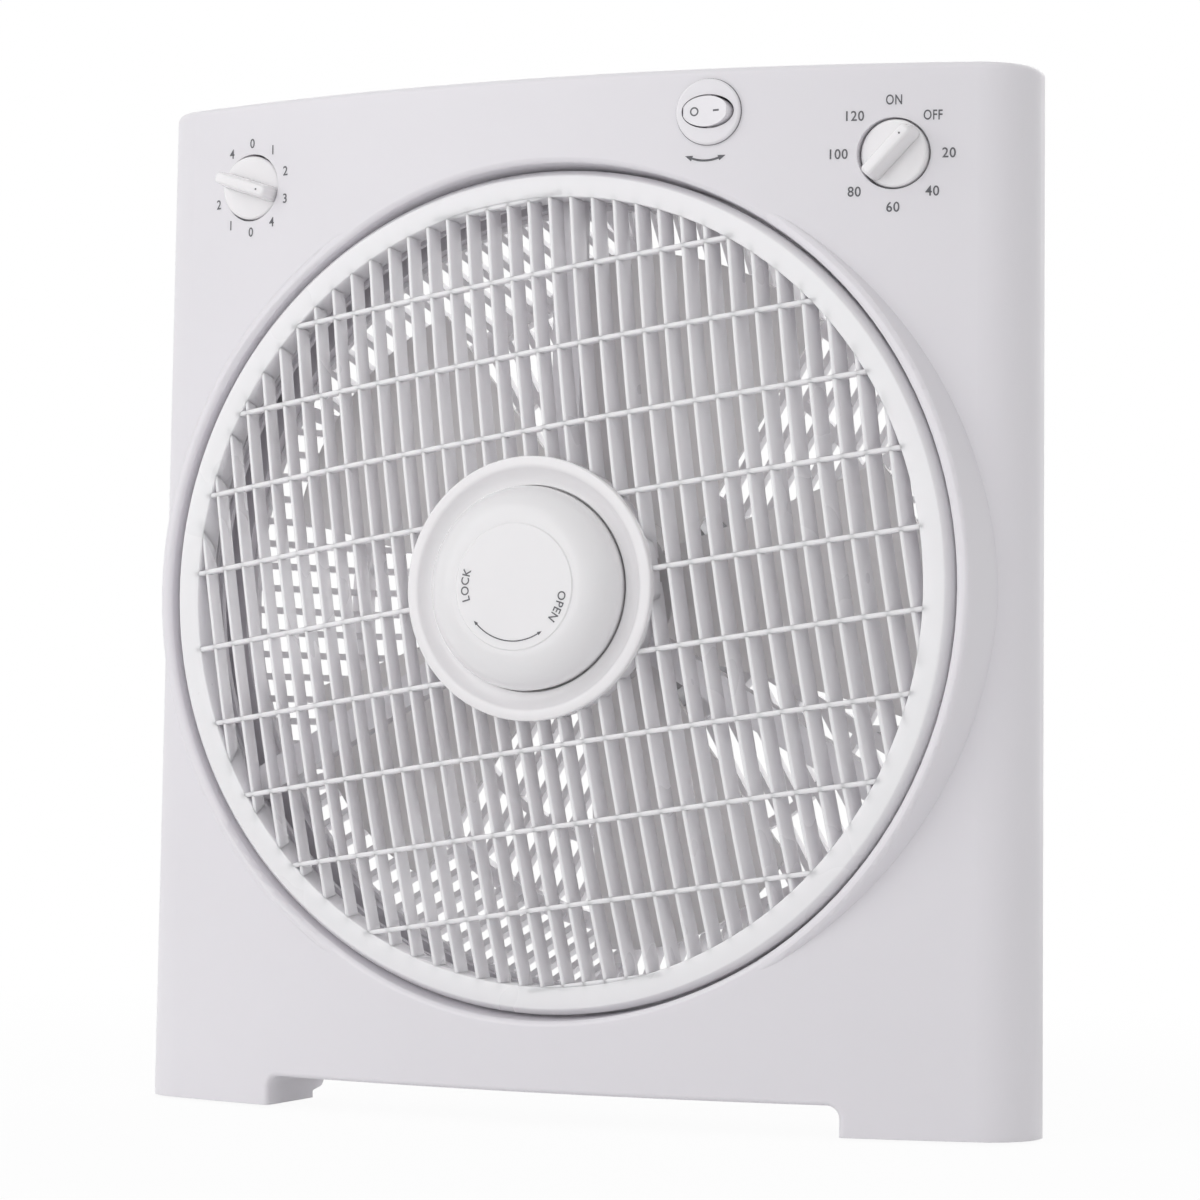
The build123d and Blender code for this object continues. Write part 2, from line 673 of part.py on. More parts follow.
def louvre_grille():
    """Domed front grille: flat rim, slats that fan out, thin cross bars and the hub."""
    front = RIM_DEPTH - DOME_RISE - SLAT_DEEP
    back = RIM_DEPTH + 2 * SLAT_DEEP
    long = 2 * RIM_OUT_R
    turn = Pos(0, 0, AXIS_Z) * Rot(0, -LOUVRE_TURN, 0)
    slat_shell = dome_shell(SLAT_DEEP)
    count = int(RIM_IN_R / SLAT_PITCH)
    fins = []
    for i in range(-count, count):
        x = (i + 0.5) * SLAT_PITCH
        lean = math.degrees(math.atan(x / SLAT_FOCUS))
        plate = at(x, (front + back) / 2, 0) * Rot(0, 0, -lean) * Box(SLAT_THICK, back - front, long)
        fins.append(turn * plate & slat_shell)
    bar_shell = dome_shell(BAR_DEEP, BAR_LIFT)
    rows = int(RIM_IN_R / BAR_PITCH)
    bars = []
    for j in range(-rows, rows + 1):
        plate = block(0, j * BAR_PITCH, long, BAR_WIDE, front, back)
        bars.append(turn * plate & bar_shell)
    skirt_back = RIM_DEPTH + RIM_SKIRT
    rim = turned(
        (RIM_IN_R, RIM_DEPTH),
        (RIM_FACE_R, RIM_DEPTH),
        (RIM_OUT_R, RIM_DEPTH + RIM_FLANK),
        (RIM_OUT_R, skirt_back),
        (RIM_OUT_R - RIM_WALL, skirt_back),
        (RIM_OUT_R - RIM_WALL, RIM_DEPTH + RIM_FLANK + RIM_WALL / 2),
        (RIM_FACE_R - RIM_WALL / 2, RIM_DEPTH + RIM_WALL),
        (RIM_IN_R + RIM_WALL, RIM_DEPTH + RIM_WALL),
        (RIM_IN_R + RIM_WALL, skirt_back),
        (RIM_IN_R, skirt_back),
    )
    plate_back = HUB_PLATE_DEPTH + HUB_PLATE_THICK
    hub_front = dome_depth(HUB_R) - BAR_LIFT
    hub = tube(HUB_R + HUB_WALL / 2, HUB_R - HUB_WALL / 2, hub_front, plate_back)
    hub += rod(HUB_R, HUB_PLATE_DEPTH, plate_back)
    hub += rod(HUB_BOSS_R, HUB_PLATE_DEPTH, HUB_BOSS_BACK)
    hub -= flatted_rod(SWING_SHAFT_R + FIT, SWING_FLAT, HUB_PLATE_DEPTH, HUB_BOSS_BACK)
    return rim + hub + fins + bars


def hub_dish():
    """Round dish in front of the louvre's hub, with a flat rim and a bowl for the knob."""
    rim_in = DISH_R - DISH_RIM_WIDE
    inner = HUB_R - HUB_WALL / 2 - GAP
    bore = SWING_SHAFT_R + GAP
    hub_front = dome_depth(HUB_R) - BAR_LIFT - FIT
    outline = [
        (bore, DISH_SEAT),
        (DISH_SEAT_R, DISH_SEAT),
        (DISH_SEAT_R, DISH_FLOOR),
        (DISH_BOWL_R, DISH_FLOOR),
        (DISH_BOWL_R, DISH_STEP_DEPTH),
        (rim_in - DISH_ROUND, DISH_STEP_DEPTH - DISH_STEP_FALL),
        (rim_in, DISH_RIM_DEPTH + DISH_ROUND),
        (rim_in + DISH_ROUND, DISH_RIM_DEPTH),
        (DISH_R - DISH_ROUND, DISH_RIM_DEPTH),
        (DISH_R, DISH_RIM_DEPTH + DISH_ROUND),
        (DISH_R, hub_front),
        (inner, hub_front),
        (inner, DISH_STEP_DEPTH + DISH_THICK),
        (DISH_BOWL_R + DISH_THICK, DISH_STEP_DEPTH + DISH_THICK),
        (DISH_BOWL_R + DISH_THICK, DISH_BACK),
        (bore, DISH_BACK),
    ]
    return turned(*outline)


def knob_bend(offset):
    """Rounded flank of the lock knob, drawn in by offset, from its crown to its edge."""
    edge_r = KNOB_R - offset
    crown_r = KNOB_CROWN_R - offset / 2
    crown = KNOB_CROWN_DEPTH + offset
    shoulder_r = (edge_r + crown_r) / 2 + KNOB_SHOULDER_OUT
    shoulder = (shoulder_r, (KNOB_EDGE_DEPTH + crown) / 2 - KNOB_SHOULDER_UP)
    return ThreePointArc((crown_r, crown), shoulder, (edge_r, KNOB_EDGE_DEPTH + offset / 2))


def lock_knob():
    """Domed knob that clamps the louvre to its shaft."""
    cap = KNOB_CROWN_DEPTH - KNOB_CROWN_STEP
    step_r = KNOB_CROWN_R - KNOB_CROWN_STEP
    inner_crown = KNOB_CROWN_DEPTH + KNOB_WALL
    edge_r = KNOB_R - KNOB_CROWN_STEP
    bore_r = INSERT_R + FIT
    bend = knob_bend(0)
    inner_bend = knob_bend(KNOB_WALL)
    top = Polyline((0, cap), (step_r - KNOB_CROWN_STEP, cap), (step_r, KNOB_CROWN_DEPTH), bend @ 0)
    side = Polyline(bend @ 1, (edge_r, KNOB_SKIRT), (edge_r - KNOB_WALL, KNOB_SKIRT), inner_bend @ 1)
    boss = [(KNOB_BOSS_R, inner_crown), (KNOB_BOSS_R, WASHER_FRONT), (bore_r, WASHER_FRONT)]
    under = Polyline(inner_bend @ 0, *boss, (bore_r, inner_crown), (0, inner_crown), (0, cap))
    return turned(top, bend, side, inner_bend, under)


def knob_insert():
    """Brass bush moulded into the lock knob."""
    front = KNOB_CROWN_DEPTH + KNOB_WALL
    bush = rod(INSERT_R, front, WASHER_FRONT)
    return bush - rod(SWING_SHAFT_R + FIT, front + INSERT_FLOOR, WASHER_FRONT)


def lock_washer():
    """Flat steel washer under the lock knob."""
    return tube(WASHER_R, SWING_SHAFT_R + FIT, WASHER_FRONT, DISH_SEAT)


def swing_shaft():
    """Shaft that turns the louvre, with a collar behind the hub and a flat through it."""
    tip = KNOB_CROWN_DEPTH + KNOB_WALL + INSERT_FLOOR + SWING_TIP_GAP
    shaft = rod(SWING_SHAFT_R, tip, HUB_PLATE_DEPTH - FIT)
    shaft += flatted_rod(SWING_SHAFT_R, SWING_FLAT, HUB_PLATE_DEPTH - FIT, HUB_BOSS_BACK)
    shaft += rod(SWING_COLLAR_R, HUB_BOSS_BACK, SWING_COLLAR_BACK)
    return shaft + rod(SWING_SHAFT_R, HUB_BOSS_BACK, SWING_SHAFT_BACK)


def swing_motor():
    """Flat geared motor that turns the louvre."""
    back = SWING_MOTOR_FRONT + SWING_MOTOR_LONG
    can = rod(SWING_MOTOR_R, SWING_MOTOR_FRONT, back)
    for x in (-SWING_EAR_X, SWING_EAR_X):
        can += rod(SWING_EAR_R, SWING_MOTOR_FRONT, SWING_EAR_BACK, x)
        can += block(x / 2, AXIS_Z, SWING_EAR_X, 2 * SWING_EAR_R, SWING_MOTOR_FRONT, SWING_EAR_BACK)
    for x in (-SWING_EAR_X, SWING_EAR_X):
        can -= rod(SCREW_R + FIT, SWING_MOTOR_FRONT, SWING_EAR_BACK, x)
    can += rod(SWING_CAP_R, back, back + SWING_CAP_TALL)
    return can - rod(SWING_SHAFT_R + FIT, SWING_MOTOR_FRONT, SWING_SHAFT_BACK)


def support_spider():
    """Cup with three arms that carries the swing motor inside the collar."""
    arm_front = FLANGE_DEPTH - SPIDER_ARM_DEEP
    ring_in = SPIDER_RING_OUT_R - SPIDER_RING_WIDE
    frame = rod(SPIDER_CUP_R, SPIDER_FRONT, FLANGE_DEPTH)
    frame -= rod(SPIDER_CUP_R - SPIDER_WALL, SWING_MOTOR_FRONT, FLANGE_DEPTH)
    frame += tube(SPIDER_RING_OUT_R, ring_in, SPIDER_RING_DEPTH, FLANGE_DEPTH)
    start = SPIDER_CUP_R - SPIDER_WALL / 2
    reach = ring_in + SPIDER_RING_WIDE / 2
    long = ring_in - start - 2 * SPIDER_WALL
    wide = SPIDER_ARM_WIDE - 2 * SPIDER_WALL
    arm = block((start + reach) / 2, 0, reach - start, SPIDER_ARM_WIDE, arm_front, FLANGE_DEPTH)
    arm -= block((start + ring_in) / 2, 0, long, wide, arm_front + SPIDER_WALL, FLANGE_DEPTH)
    for k in range(SPIDER_ARMS):
        frame += Pos(0, 0, AXIS_Z) * Rot(0, -90 - 360.0 * k / SPIDER_ARMS, 0) * arm
    frame -= rod(SWING_SHAFT_R + GAP, SPIDER_FRONT, SWING_MOTOR_FRONT)
    for x, z in ring_places(SPIDER_SCREW_R, SPIDER_SCREWS, 30):
        frame -= rod(SCREW_R + FIT, SPIDER_RING_DEPTH, FLANGE_DEPTH, x, z)
        frame -= rod(SCREW_HEAD_R + GAP, arm_front, SPIDER_RING_DEPTH, x, z)
    for x in (-SWING_EAR_X, SWING_EAR_X):
        frame -= rod(SCREW_R + FIT, SPIDER_FRONT, SWING_MOTOR_FRONT, x)
    return frame


def spider_screws():
    """Screws of the support spider."""
    one = screw(SPIDER_RING_DEPTH, FLANGE_DEPTH + FLANGE_THICK + SCREW_TIP, True)
    return group([Pos(x, 0, z) * one for x, z in ring_places(SPIDER_SCREW_R, SPIDER_SCREWS, 30)])


def swing_screws():
    """Screws of the swing motor."""
    one = screw(SPIDER_FRONT + GAP, SWING_EAR_BACK)
    return group([Pos(x, 0, AXIS_Z) * one for x in (-SWING_EAR_X, SWING_EAR_X)])


def blade():
    """One wide swept blade, a twisted plate trimmed to its outline."""
    sections = []
    for share in (0.0, 0.5, 1.0):
        radius = BLADE_ROOT_R + (BLADE_R + BLADE_THICK - BLADE_ROOT_R) * share
        pitch = BLADE_PITCH_ROOT + (BLADE_PITCH_TIP - BLADE_PITCH_ROOT) * share
        plane = Plane(origin=(radius, CROWN_Y + BLADE_MID_DEPTH, 0), x_dir=(0, 0, 1), z_dir=(1, 0, 0))
        sections.append(plane * Rot(0, 0, pitch) * Rectangle(1.3 * BLADE_R, BLADE_THICK))
    plate = loft(sections)
    root_lead = (BLADE_ROOT_R, BLADE_ROOT_LEAD)
    root_trail = (BLADE_ROOT_R, -BLADE_ROOT_TRAIL)
    lead = Spline(root_lead, polar(BLADE_MID_R, BLADE_MID_SWEEP), polar(BLADE_LEAD_R, BLADE_LEAD_SWEEP))
    trail = Spline(polar(BLADE_R, -BLADE_TRAIL_SWEEP), polar(BLADE_MID_R, -BLADE_MID_SWEEP), root_trail)
    tip = ThreePointArc(lead @ 1, (BLADE_R, 0), trail @ 0)
    outline = make_face([lead, tip, trail, Line(root_trail, root_lead)])
    return plate & Pos(0, CROWN_Y, 0) * extrude(Plane.XZ * outline, -GUARD_BACK)


def fan_blade():
    """Fan with a cup shaped hub."""
    back = FAN_HUB_FRONT + FAN_HUB_LONG
    cup = rod(FAN_HUB_R, FAN_HUB_FRONT, back)
    cup -= rod(FAN_HUB_R - FAN_HUB_WALL, FAN_HUB_FRONT + FAN_HUB_WALL, back)
    cup += rod(FAN_BOSS_R, FAN_HUB_FRONT, FAN_BOSS_BACK)
    hollow = rod(FAN_HUB_R - FAN_HUB_WALL / 2, 0, GUARD_BACK)
    one = blade()
    blades = []
    for k in range(BLADES):
        turn = Pos(0, 0, AXIS_Z) * Rot(0, -360.0 * k / BLADES, 0)
        blades.append(turn * one - hollow)
    fan = cup + blades
    fan -= rod(SHAFT_R + FIT, 0, GUARD_BACK)
    slot_wide = 2 * (PIN_R + FIT)
    return fan - block(0, AXIS_Z, PIN_LONG, slot_wide, FAN_BOSS_BACK - 2 * PIN_R, FAN_BOSS_BACK)


def pin_depth():
    """Depth of the middle of the drive pin."""
    return FAN_BOSS_BACK - PIN_R + FIT


def drive_pin():
    """Cross pin that drives the fan."""
    return at(0, pin_depth(), AXIS_Z) * Rot(0, 90, 0) * Cylinder(PIN_R, PIN_LONG)


def spinner_nut():
    """Domed nut that holds the fan on its shaft."""
    shoulder = [(SPINNER_R - SPINNER_ROUND, SPINNER_FRONT), (SPINNER_R, SPINNER_FRONT + SPINNER_ROUND)]
    nut = turned((0, SPINNER_FRONT), *shoulder, (SPINNER_R, FAN_HUB_FRONT), (0, FAN_HUB_FRONT))
    for x, z in ring_places(SPINNER_R + FLUTE_OUT, FLUTES):
        nut -= rod(FLUTE_R, SPINNER_FRONT, FAN_HUB_FRONT, x, z)
    return nut - rod(SHAFT_R + FIT, SPINNER_FRONT + SPINNER_FLOOR, FAN_HUB_FRONT)


def motor_shaft():
    """Steel motor shaft with the cross hole of the drive pin."""
    tip = SPINNER_FRONT + SPINNER_FLOOR + SHAFT_SHORT
    shaft = rod(SHAFT_R, tip, MOTOR_BACK - SHAFT_SHORT)
    hole = at(0, pin_depth(), AXIS_Z) * Rot(0, 90, 0) * Cylinder(PIN_R + FIT / 2, 4 * SHAFT_R)
    return shaft - hole


def bell(front, back, plate_front, bush_front):
    """Half of the motor's case with lugs, a bearing boss and vents."""
    hollow = rod(MOTOR_R - MOTOR_WALL, front, back)
    plate = rod(MOTOR_R, plate_front, plate_front + MOTOR_WALL)
    for x, z in ring_places(VENT_ORBIT, VENTS):
        plate -= rod(VENT_R, plate_front, plate_front + MOTOR_WALL, x, z)
    shell = rod(MOTOR_R, front, back)
    for x, z in ring_places(LUG_ORBIT, LUGS):
        shell += rod(LUG_R, front, back, x, z)
    shell = shell - hollow + plate
    shell += rod(BUSH_BOSS_R, bush_front, bush_front + BUSH_LONG)
    for x, z in ring_places(LUG_ORBIT, LUGS):
        shell -= rod(SCREW_R + FIT, front, back, x, z)
    return shell - rod(BUSH_R + FIT, bush_front, bush_front + BUSH_LONG)


def motor_front_bell():
    """Front half of the motor's case."""
    return bell(MOTOR_FRONT, MOTOR_SPLIT, MOTOR_FRONT, MOTOR_FRONT - BUSH_STAND)


def motor_rear_bell():
    """Rear half of the motor's case."""
    plate_front = MOTOR_BACK - MOTOR_WALL
    shell = bell(MOTOR_SPLIT, MOTOR_BACK, plate_front, MOTOR_BACK - BUSH_LONG)
    for x, z in ring_places(MOTOR_SCREW_ORBIT, MOTOR_SCREWS, 45):
        shell -= rod(SCREW_R + FIT, plate_front, MOTOR_BACK, x, z)
    return shell


def motor_bush_front():
    """Front bearing bush."""
    front = MOTOR_FRONT - BUSH_STAND
    return tube(BUSH_R, SHAFT_R + FIT, front, front + BUSH_LONG)


def motor_bush_rear():
    """Rear bearing bush."""
    return tube(BUSH_R, SHAFT_R + FIT, MOTOR_BACK - BUSH_LONG, MOTOR_BACK)


def motor_stator():
    """Laminated stator ring."""
    ring = tube(MOTOR_R - MOTOR_WALL - FIT, STATOR_BORE_R, STATOR_FRONT, STATOR_BACK)
    for x, z in ring_places(STATOR_BORE_R + STATOR_SLOT_OUT, STATOR_SLOTS):
        ring -= rod(STATOR_SLOT_R, STATOR_FRONT, STATOR_BACK, x, z)
    return ring


def motor_windings():
    """Coil heads in front of and behind the stator."""
    outer = MOTOR_R - MOTOR_WALL - COIL_CLEAR_OUT
    inner = STATOR_BORE_R + COIL_CLEAR_IN
    front_head = tube(outer, inner, STATOR_FRONT - COIL_LONG, STATOR_FRONT)
    rear_head = tube(outer, inner, STATOR_BACK, STATOR_BACK + COIL_LONG)
    return group([front_head, rear_head])


def motor_rotor():
    """Rotor on the motor shaft."""
    return tube(STATOR_BORE_R - AIR_GAP, SHAFT_R + FIT / 2, STATOR_FRONT, STATOR_BACK)


def motor_bolts():
    """Bolts that hold the two halves of the motor together."""
    one = screw(MOTOR_FRONT, MOTOR_BACK - SCREW_SHORT, True)
    return group([Pos(x, 0, z) * one for x, z in ring_places(LUG_ORBIT, LUGS)])


def motor_mount_screws():
    """Screws that hold the motor to the rear grille."""
    one = screw(MOTOR_BACK - MOTOR_WALL - SCREW_SHORT, SEAT_BACK)
    return group([Pos(x, 0, z) * one for x, z in ring_places(MOTOR_SCREW_ORBIT, MOTOR_SCREWS, 45)])


def guard_screws():
    """Screws of the rear grille."""
    one = screw(LEDGE_FRONT - SCREW_TIP, GUARD_FLANGE_BACK - SCREW_HEAD_TALL)
    return group([Pos(x, 0, z) * one for x, z in ring_places(GUARD_SCREW_R, GUARD_SPOKES, 30)])


def housing_screws():
    """Long screws in wells that join the two halves of the cabinet."""
    one = screw(PARTING_DEPTH - BOSS_PILOT + SCREW_SHORT, PARTING_DEPTH + WELL_FLOOR)
    return group([Pos(x, 0, z) * one for x, z in boss_places()])


def dial_knob(x, turn):
    """Round control knob with a grip bar across it."""
    face = dial_face()
    back = face + DIAL_THICK
    disc = rod(DIAL_R, face, back, 0, 0)
    disc = chamfer(disc.edges().filter_by(GeomType.CIRCLE).sort_by(Axis.Y)[0], DIAL_CHAMFER)
    top = face - DIAL_BAR_STAND
    foot = Plane(origin=(0, CROWN_Y + face, 0), x_dir=(1, 0, 0), z_dir=(0, -1, 0))
    bar = extrude(foot * Rectangle(2 * DIAL_R, DIAL_BAR_WIDE), DIAL_BAR_STAND, taper=DIAL_BAR_DRAFT)
    bar &= rod(DIAL_R, top, face, 0, 0)
    bar = fillet(bar.faces().sort_by(Axis.Y)[0].edges(), DIAL_BAR_ROUND)
    knob = disc + bar + rod(DIAL_STEM_R, back, back + DIAL_STEM_LONG, 0, 0)
    knob -= rod(DIAL_MARK_R, top, top + DIAL_MARK_DEEP, DIAL_MARK_OUT, 0)
    knob -= flatted_rod(DIAL_SHAFT_R + FIT, DIAL_SHAFT_FLAT, face, back + DIAL_STEM_LONG, 0, 0)
    return Pos(x, 0, DIAL_Z) * Rot(0, -turn, 0) * knob


def dial_shaft(x, turn, body_deep):
    """Flatted shaft from a rotary control into its knob."""
    back = switch_front() + body_deep / 2
    shaft = flatted_rod(DIAL_SHAFT_R, DIAL_SHAFT_FLAT, dial_face() + GAP, back, 0, 0)
    return Pos(x, 0, DIAL_Z) * Rot(0, -turn, 0) * shaft


def switch_body(x, wide, deep):
    """Case of a rotary control behind its cup, with terminals at the back."""
    front = switch_front()
    back = front + deep
    case = block(x, DIAL_Z, wide, wide, front, back)
    case = fillet(case.edges().filter_by(Axis.Y), SWITCH_ROUND)
    for off in (-wide / 4, 0, wide / 4):
        case += block(x + off, DIAL_Z - wide / 4, TAB_WIDE, TAB_THICK, back, back + TAB_LONG / 2)
    for off in (-SWITCH_SCREW_X, SWITCH_SCREW_X):
        case -= rod(SCREW_R + FIT, front, front + SWITCH_PILOT, x + off, DIAL_Z)
    return case - rod(DIAL_SHAFT_R + FIT, front, front + deep / 2, x, DIAL_Z)


def switch_screws(x):
    """Screws that hold a rotary control, driven from inside the cup under the knob."""
    floor = dial_floor()
    head = rod(SWITCH_HEAD_R, floor - SWITCH_HEAD_TALL, floor, 0, 0)
    one = head + rod(SCREW_R, floor, switch_front() + SWITCH_PILOT - SCREW_SHORT, 0, 0)
    return group([Pos(x + off, 0, DIAL_Z) * one for off in (-SWITCH_SCREW_X, SWITCH_SCREW_X)])


def rocker_bezel():
    """Round bezel and case of the rocker switch."""
    flange = rod(BEZEL_R, CROWN_LOCAL - BEZEL_STAND, CROWN_LOCAL, 0, 0)
    flange = fillet(flange.edges().filter_by(GeomType.CIRCLE).sort_by(Axis.Y)[0], BEZEL_ROUND)
    back = CROWN_LOCAL + BEZEL_BODY_LONG
    case = flange + rod(BEZEL_BODY_R, CROWN_LOCAL, back, 0, 0)
    pivot = Pos(0, ROCKER_PIVOT_BACK, 0)
    room = ROCKER_SWEEP_R + ROCKER_GAP
    tall = ROCKER_TALL + 2 * ROCKER_GAP
    window = Ellipse(ROCKER_LONG / 2 + WINDOW_GAP_LONG, ROCKER_TALL / 2 + WINDOW_GAP_TALL)
    mouth = pivot * extrude(Plane.XZ * window, ROCKER_PIVOT_BACK + 2 * BEZEL_STAND)
    behind = block(0, 0, 2 * room, tall, CROWN_LOCAL + ROCKER_PIVOT_BACK, back)
    well = pivot * Cylinder(room, tall) & behind
    hole = pivot * Cylinder(ROCKER_PIN_R + FIT, tall + 2 * ROCKER_PIN_LONG)
    return rocker_frame() * (case - mouth - well - hole)


def rocker_button():
    """Oval rocker on two pins, shown with its left end pressed in."""
    stand = ROCKER_PIVOT_BACK + BEZEL_STAND + ROCKER_STAND
    oval = Ellipse(ROCKER_LONG / 2, ROCKER_TALL / 2)
    bar = Pos(0, ROCKER_PIVOT_BACK, 0) * extrude(Plane.XZ * oval, stand + ROCKER_PIVOT_BACK)
    sweep = Cylinder(ROCKER_SWEEP_R, 2 * ROCKER_TALL)
    hollow_r = 3 * ROCKER_LONG
    dip = ROCKER_LONG ** 2 / (8 * hollow_r)
    hollow = Pos(0, -stand - hollow_r + dip, 0) * Cylinder(hollow_r, 2 * ROCKER_TALL)
    pins = Cylinder(ROCKER_PIN_R, ROCKER_TALL + 2 * ROCKER_PIN_LONG)
    rocker = (bar & sweep) - hollow + pins
    return rocker_frame() * Pos(0, ROCKER_PIVOT_BACK, 0) * Rot(0, 0, -ROCKER_TILT) * rocker


def rocker_tabs():
    """Flat terminals behind the rocker switch."""
    back = CROWN_LOCAL + BEZEL_BODY_LONG
    one = block(0, 0, TAB_THICK, TAB_WIDE, back, back + TAB_LONG)
    return group([rocker_frame() * Pos(x, 0, 0) * one for x in (-TAB_X, TAB_X)])


def foot_pads():
    """Rubber pads under the front feet and the rear legs."""
    pad = Cylinder(PAD_R, PAD_STAND, align=(Align.CENTER, Align.CENTER, Align.MIN))
    rear_depth = LEG_BACK - 2 * PAD_R
    right = [at(PAD_FRONT_X, PAD_FRONT_DEPTH, 0), at(LEG_X, rear_depth, 0)]
    left = [at(-PAD_FRONT_X, PAD_FRONT_DEPTH, 0), at(-LEG_X, rear_depth, 0)]
    return group([place * pad for place in right + left])


def cord_gland():
    """Rubber gland in the back wall where the cord comes in."""
    collar_front = REAR_WALL_FRONT - GLAND_COLLAR_LONG
    gland = rod(GLAND_R, collar_front, REAR_BACK, GLAND_X, GLAND_Z)
    gland += rod(GLAND_FLANGE_R, REAR_BACK, REAR_BACK + GLAND_FLANGE_THICK, GLAND_X, GLAND_Z)
    gland += rod(GLAND_COLLAR_R, collar_front, REAR_WALL_FRONT, GLAND_X, GLAND_Z)
    return gland - rod(GLAND_BORE_R, collar_front, GUARD_BACK, GLAND_X, GLAND_Z)


def run_capacitor():
    """Run capacitor of the fan motor, on the inside of the back wall."""
    case = block(CAP_X, CAP_Z, CAP_LONG, CAP_TALL, REAR_WALL_FRONT - CAP_DEEP, REAR_WALL_FRONT)
    return fillet(case.edges().filter_by(Axis.Y), CAP_ROUND)


def terminal_block():
    """Terminal block beside the cord gland, with a row of wire holes."""
    front = REAR_WALL_FRONT - BLOCK_DEEP
    case = block(BLOCK_X, BLOCK_Z, BLOCK_LONG, BLOCK_TALL, front, REAR_WALL_FRONT)
    case = fillet(case.edges().filter_by(Axis.Y), BLOCK_ROUND)
    for i in range(BLOCK_WAYS):
        x = BLOCK_X + (i - (BLOCK_WAYS - 1) / 2) * BLOCK_LONG / BLOCK_WAYS
        case -= rod(BLOCK_HOLE_R, front, front + BLOCK_HOLE_DEEP, x, BLOCK_Z)
    return case


PIECES = {
    "front_housing": front_housing,
    "rear_housing": rear_housing,
    "rear_grille": rear_grille,
    "louvre_grille": louvre_grille,
    "hub_dish": hub_dish,
    "lock_knob": lock_knob,
    "knob_insert": knob_insert,
    "lock_washer": lock_washer,
    "swing_shaft": swing_shaft,
    "swing_motor": swing_motor,
    "support_spider": support_spider,
    "spider_screws": spider_screws,
    "swing_screws": swing_screws,
    "fan_blade": fan_blade,
    "drive_pin": drive_pin,
    "spinner_nut": spinner_nut,
    "motor_shaft": motor_shaft,
    "motor_front_bell": motor_front_bell,
    "motor_rear_bell": motor_rear_bell,
    "motor_bush_front": motor_bush_front,
    "motor_bush_rear": motor_bush_rear,
    "motor_stator": motor_stator,
    "motor_windings": motor_windings,
    "motor_rotor": motor_rotor,
    "motor_bolts": motor_bolts,
    "motor_mount_screws": motor_mount_screws,
    "guard_screws": guard_screws,
    "housing_screws": housing_screws,
    "speed_knob": lambda: dial_knob(-DIAL_X, SPEED_TURN),
    "speed_shaft": lambda: dial_shaft(-DIAL_X, SPEED_TURN, SPEED_BODY_DEEP),
    "speed_switch": lambda: switch_body(-DIAL_X, SPEED_BODY_WIDE, SPEED_BODY_DEEP),
    "speed_switch_screws": lambda: switch_screws(-DIAL_X),
    "timer_knob": lambda: dial_knob(DIAL_X, TIMER_TURN),
    "timer_shaft": lambda: dial_shaft(DIAL_X, TIMER_TURN, TIMER_BODY_DEEP),
    "timer_body": lambda: switch_body(DIAL_X, TIMER_BODY_WIDE, TIMER_BODY_DEEP),
    "timer_screws": lambda: switch_screws(DIAL_X),
    "rocker_bezel": rocker_bezel,
    "rocker_button": rocker_button,
    "rocker_tabs": rocker_tabs,
    "foot_pads": foot_pads,
    "cord_gland": cord_gland,
    "run_capacitor": run_capacitor,
    "terminal_block": terminal_block,
}

os.makedirs("parts", exist_ok=True)
for name, make in PIECES.items():
    export_step(make(), f"parts/{name}.step")
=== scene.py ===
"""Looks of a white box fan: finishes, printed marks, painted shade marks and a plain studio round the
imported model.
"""

import math

import bmesh
import bpy
from mathutils import Matrix, Vector


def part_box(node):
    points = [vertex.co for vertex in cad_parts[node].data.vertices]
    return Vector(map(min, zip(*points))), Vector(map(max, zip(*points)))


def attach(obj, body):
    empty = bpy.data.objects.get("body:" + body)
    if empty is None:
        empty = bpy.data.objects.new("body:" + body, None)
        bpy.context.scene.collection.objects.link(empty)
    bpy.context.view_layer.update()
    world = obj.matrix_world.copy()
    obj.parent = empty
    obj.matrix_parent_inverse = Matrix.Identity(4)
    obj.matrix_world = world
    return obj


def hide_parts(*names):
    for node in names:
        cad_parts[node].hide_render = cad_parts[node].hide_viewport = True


bl_info = {
    "name": "Box fan finish",
    "version": (1, 0, 0),
    "blender": (4, 5, 0),
    "location": "View3D > Sidebar > Box Fan",
    "description": "Finishes, printed marks and studio for a box fan",
    "category": "Object",
}

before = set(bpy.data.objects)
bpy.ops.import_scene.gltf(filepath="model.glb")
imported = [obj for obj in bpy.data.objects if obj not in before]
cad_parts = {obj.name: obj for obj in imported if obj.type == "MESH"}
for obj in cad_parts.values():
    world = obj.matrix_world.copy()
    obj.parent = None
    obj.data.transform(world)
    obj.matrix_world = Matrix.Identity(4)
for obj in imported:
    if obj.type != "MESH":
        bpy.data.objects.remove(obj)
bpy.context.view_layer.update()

# Places shared by several pieces, in metres
BOW_RADIUS = 0.645
CROWN_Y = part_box("front_housing")[0].y
AXIS_Z = 0.2106
DIAL_Z = 0.379
ROCKER_PIVOT = Vector((0.067874, -0.048162, 0.397))
ROCKER_PLACE = (0.068, 0.397)
ROCKER_BOW = 0.0585
ROCKER_FACE = 0.0037875
SWING_PLACE = (0.0668, 0.3935)
LOCK_FACE_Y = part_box("lock_knob")[0].y
CAMERA_PLACE = (0.58350, -1.36289, 0.14512)
LAMP_AIM = Vector((0, 0, 0.2))

# Angles in degrees: slope of the panel at the rocker, half of the rocker's swing, marks pointed to at rest
ROCKER_SLOPE = 6.053
ROCKER_HALF_SWING = 11.0
SPEED_REST = -18.0
TIMER_REST = 45.0

# Yaw, pitch and roll of the camera in radians
CAMERA_TURN = (0.4021, 0.0430, 0.0145)

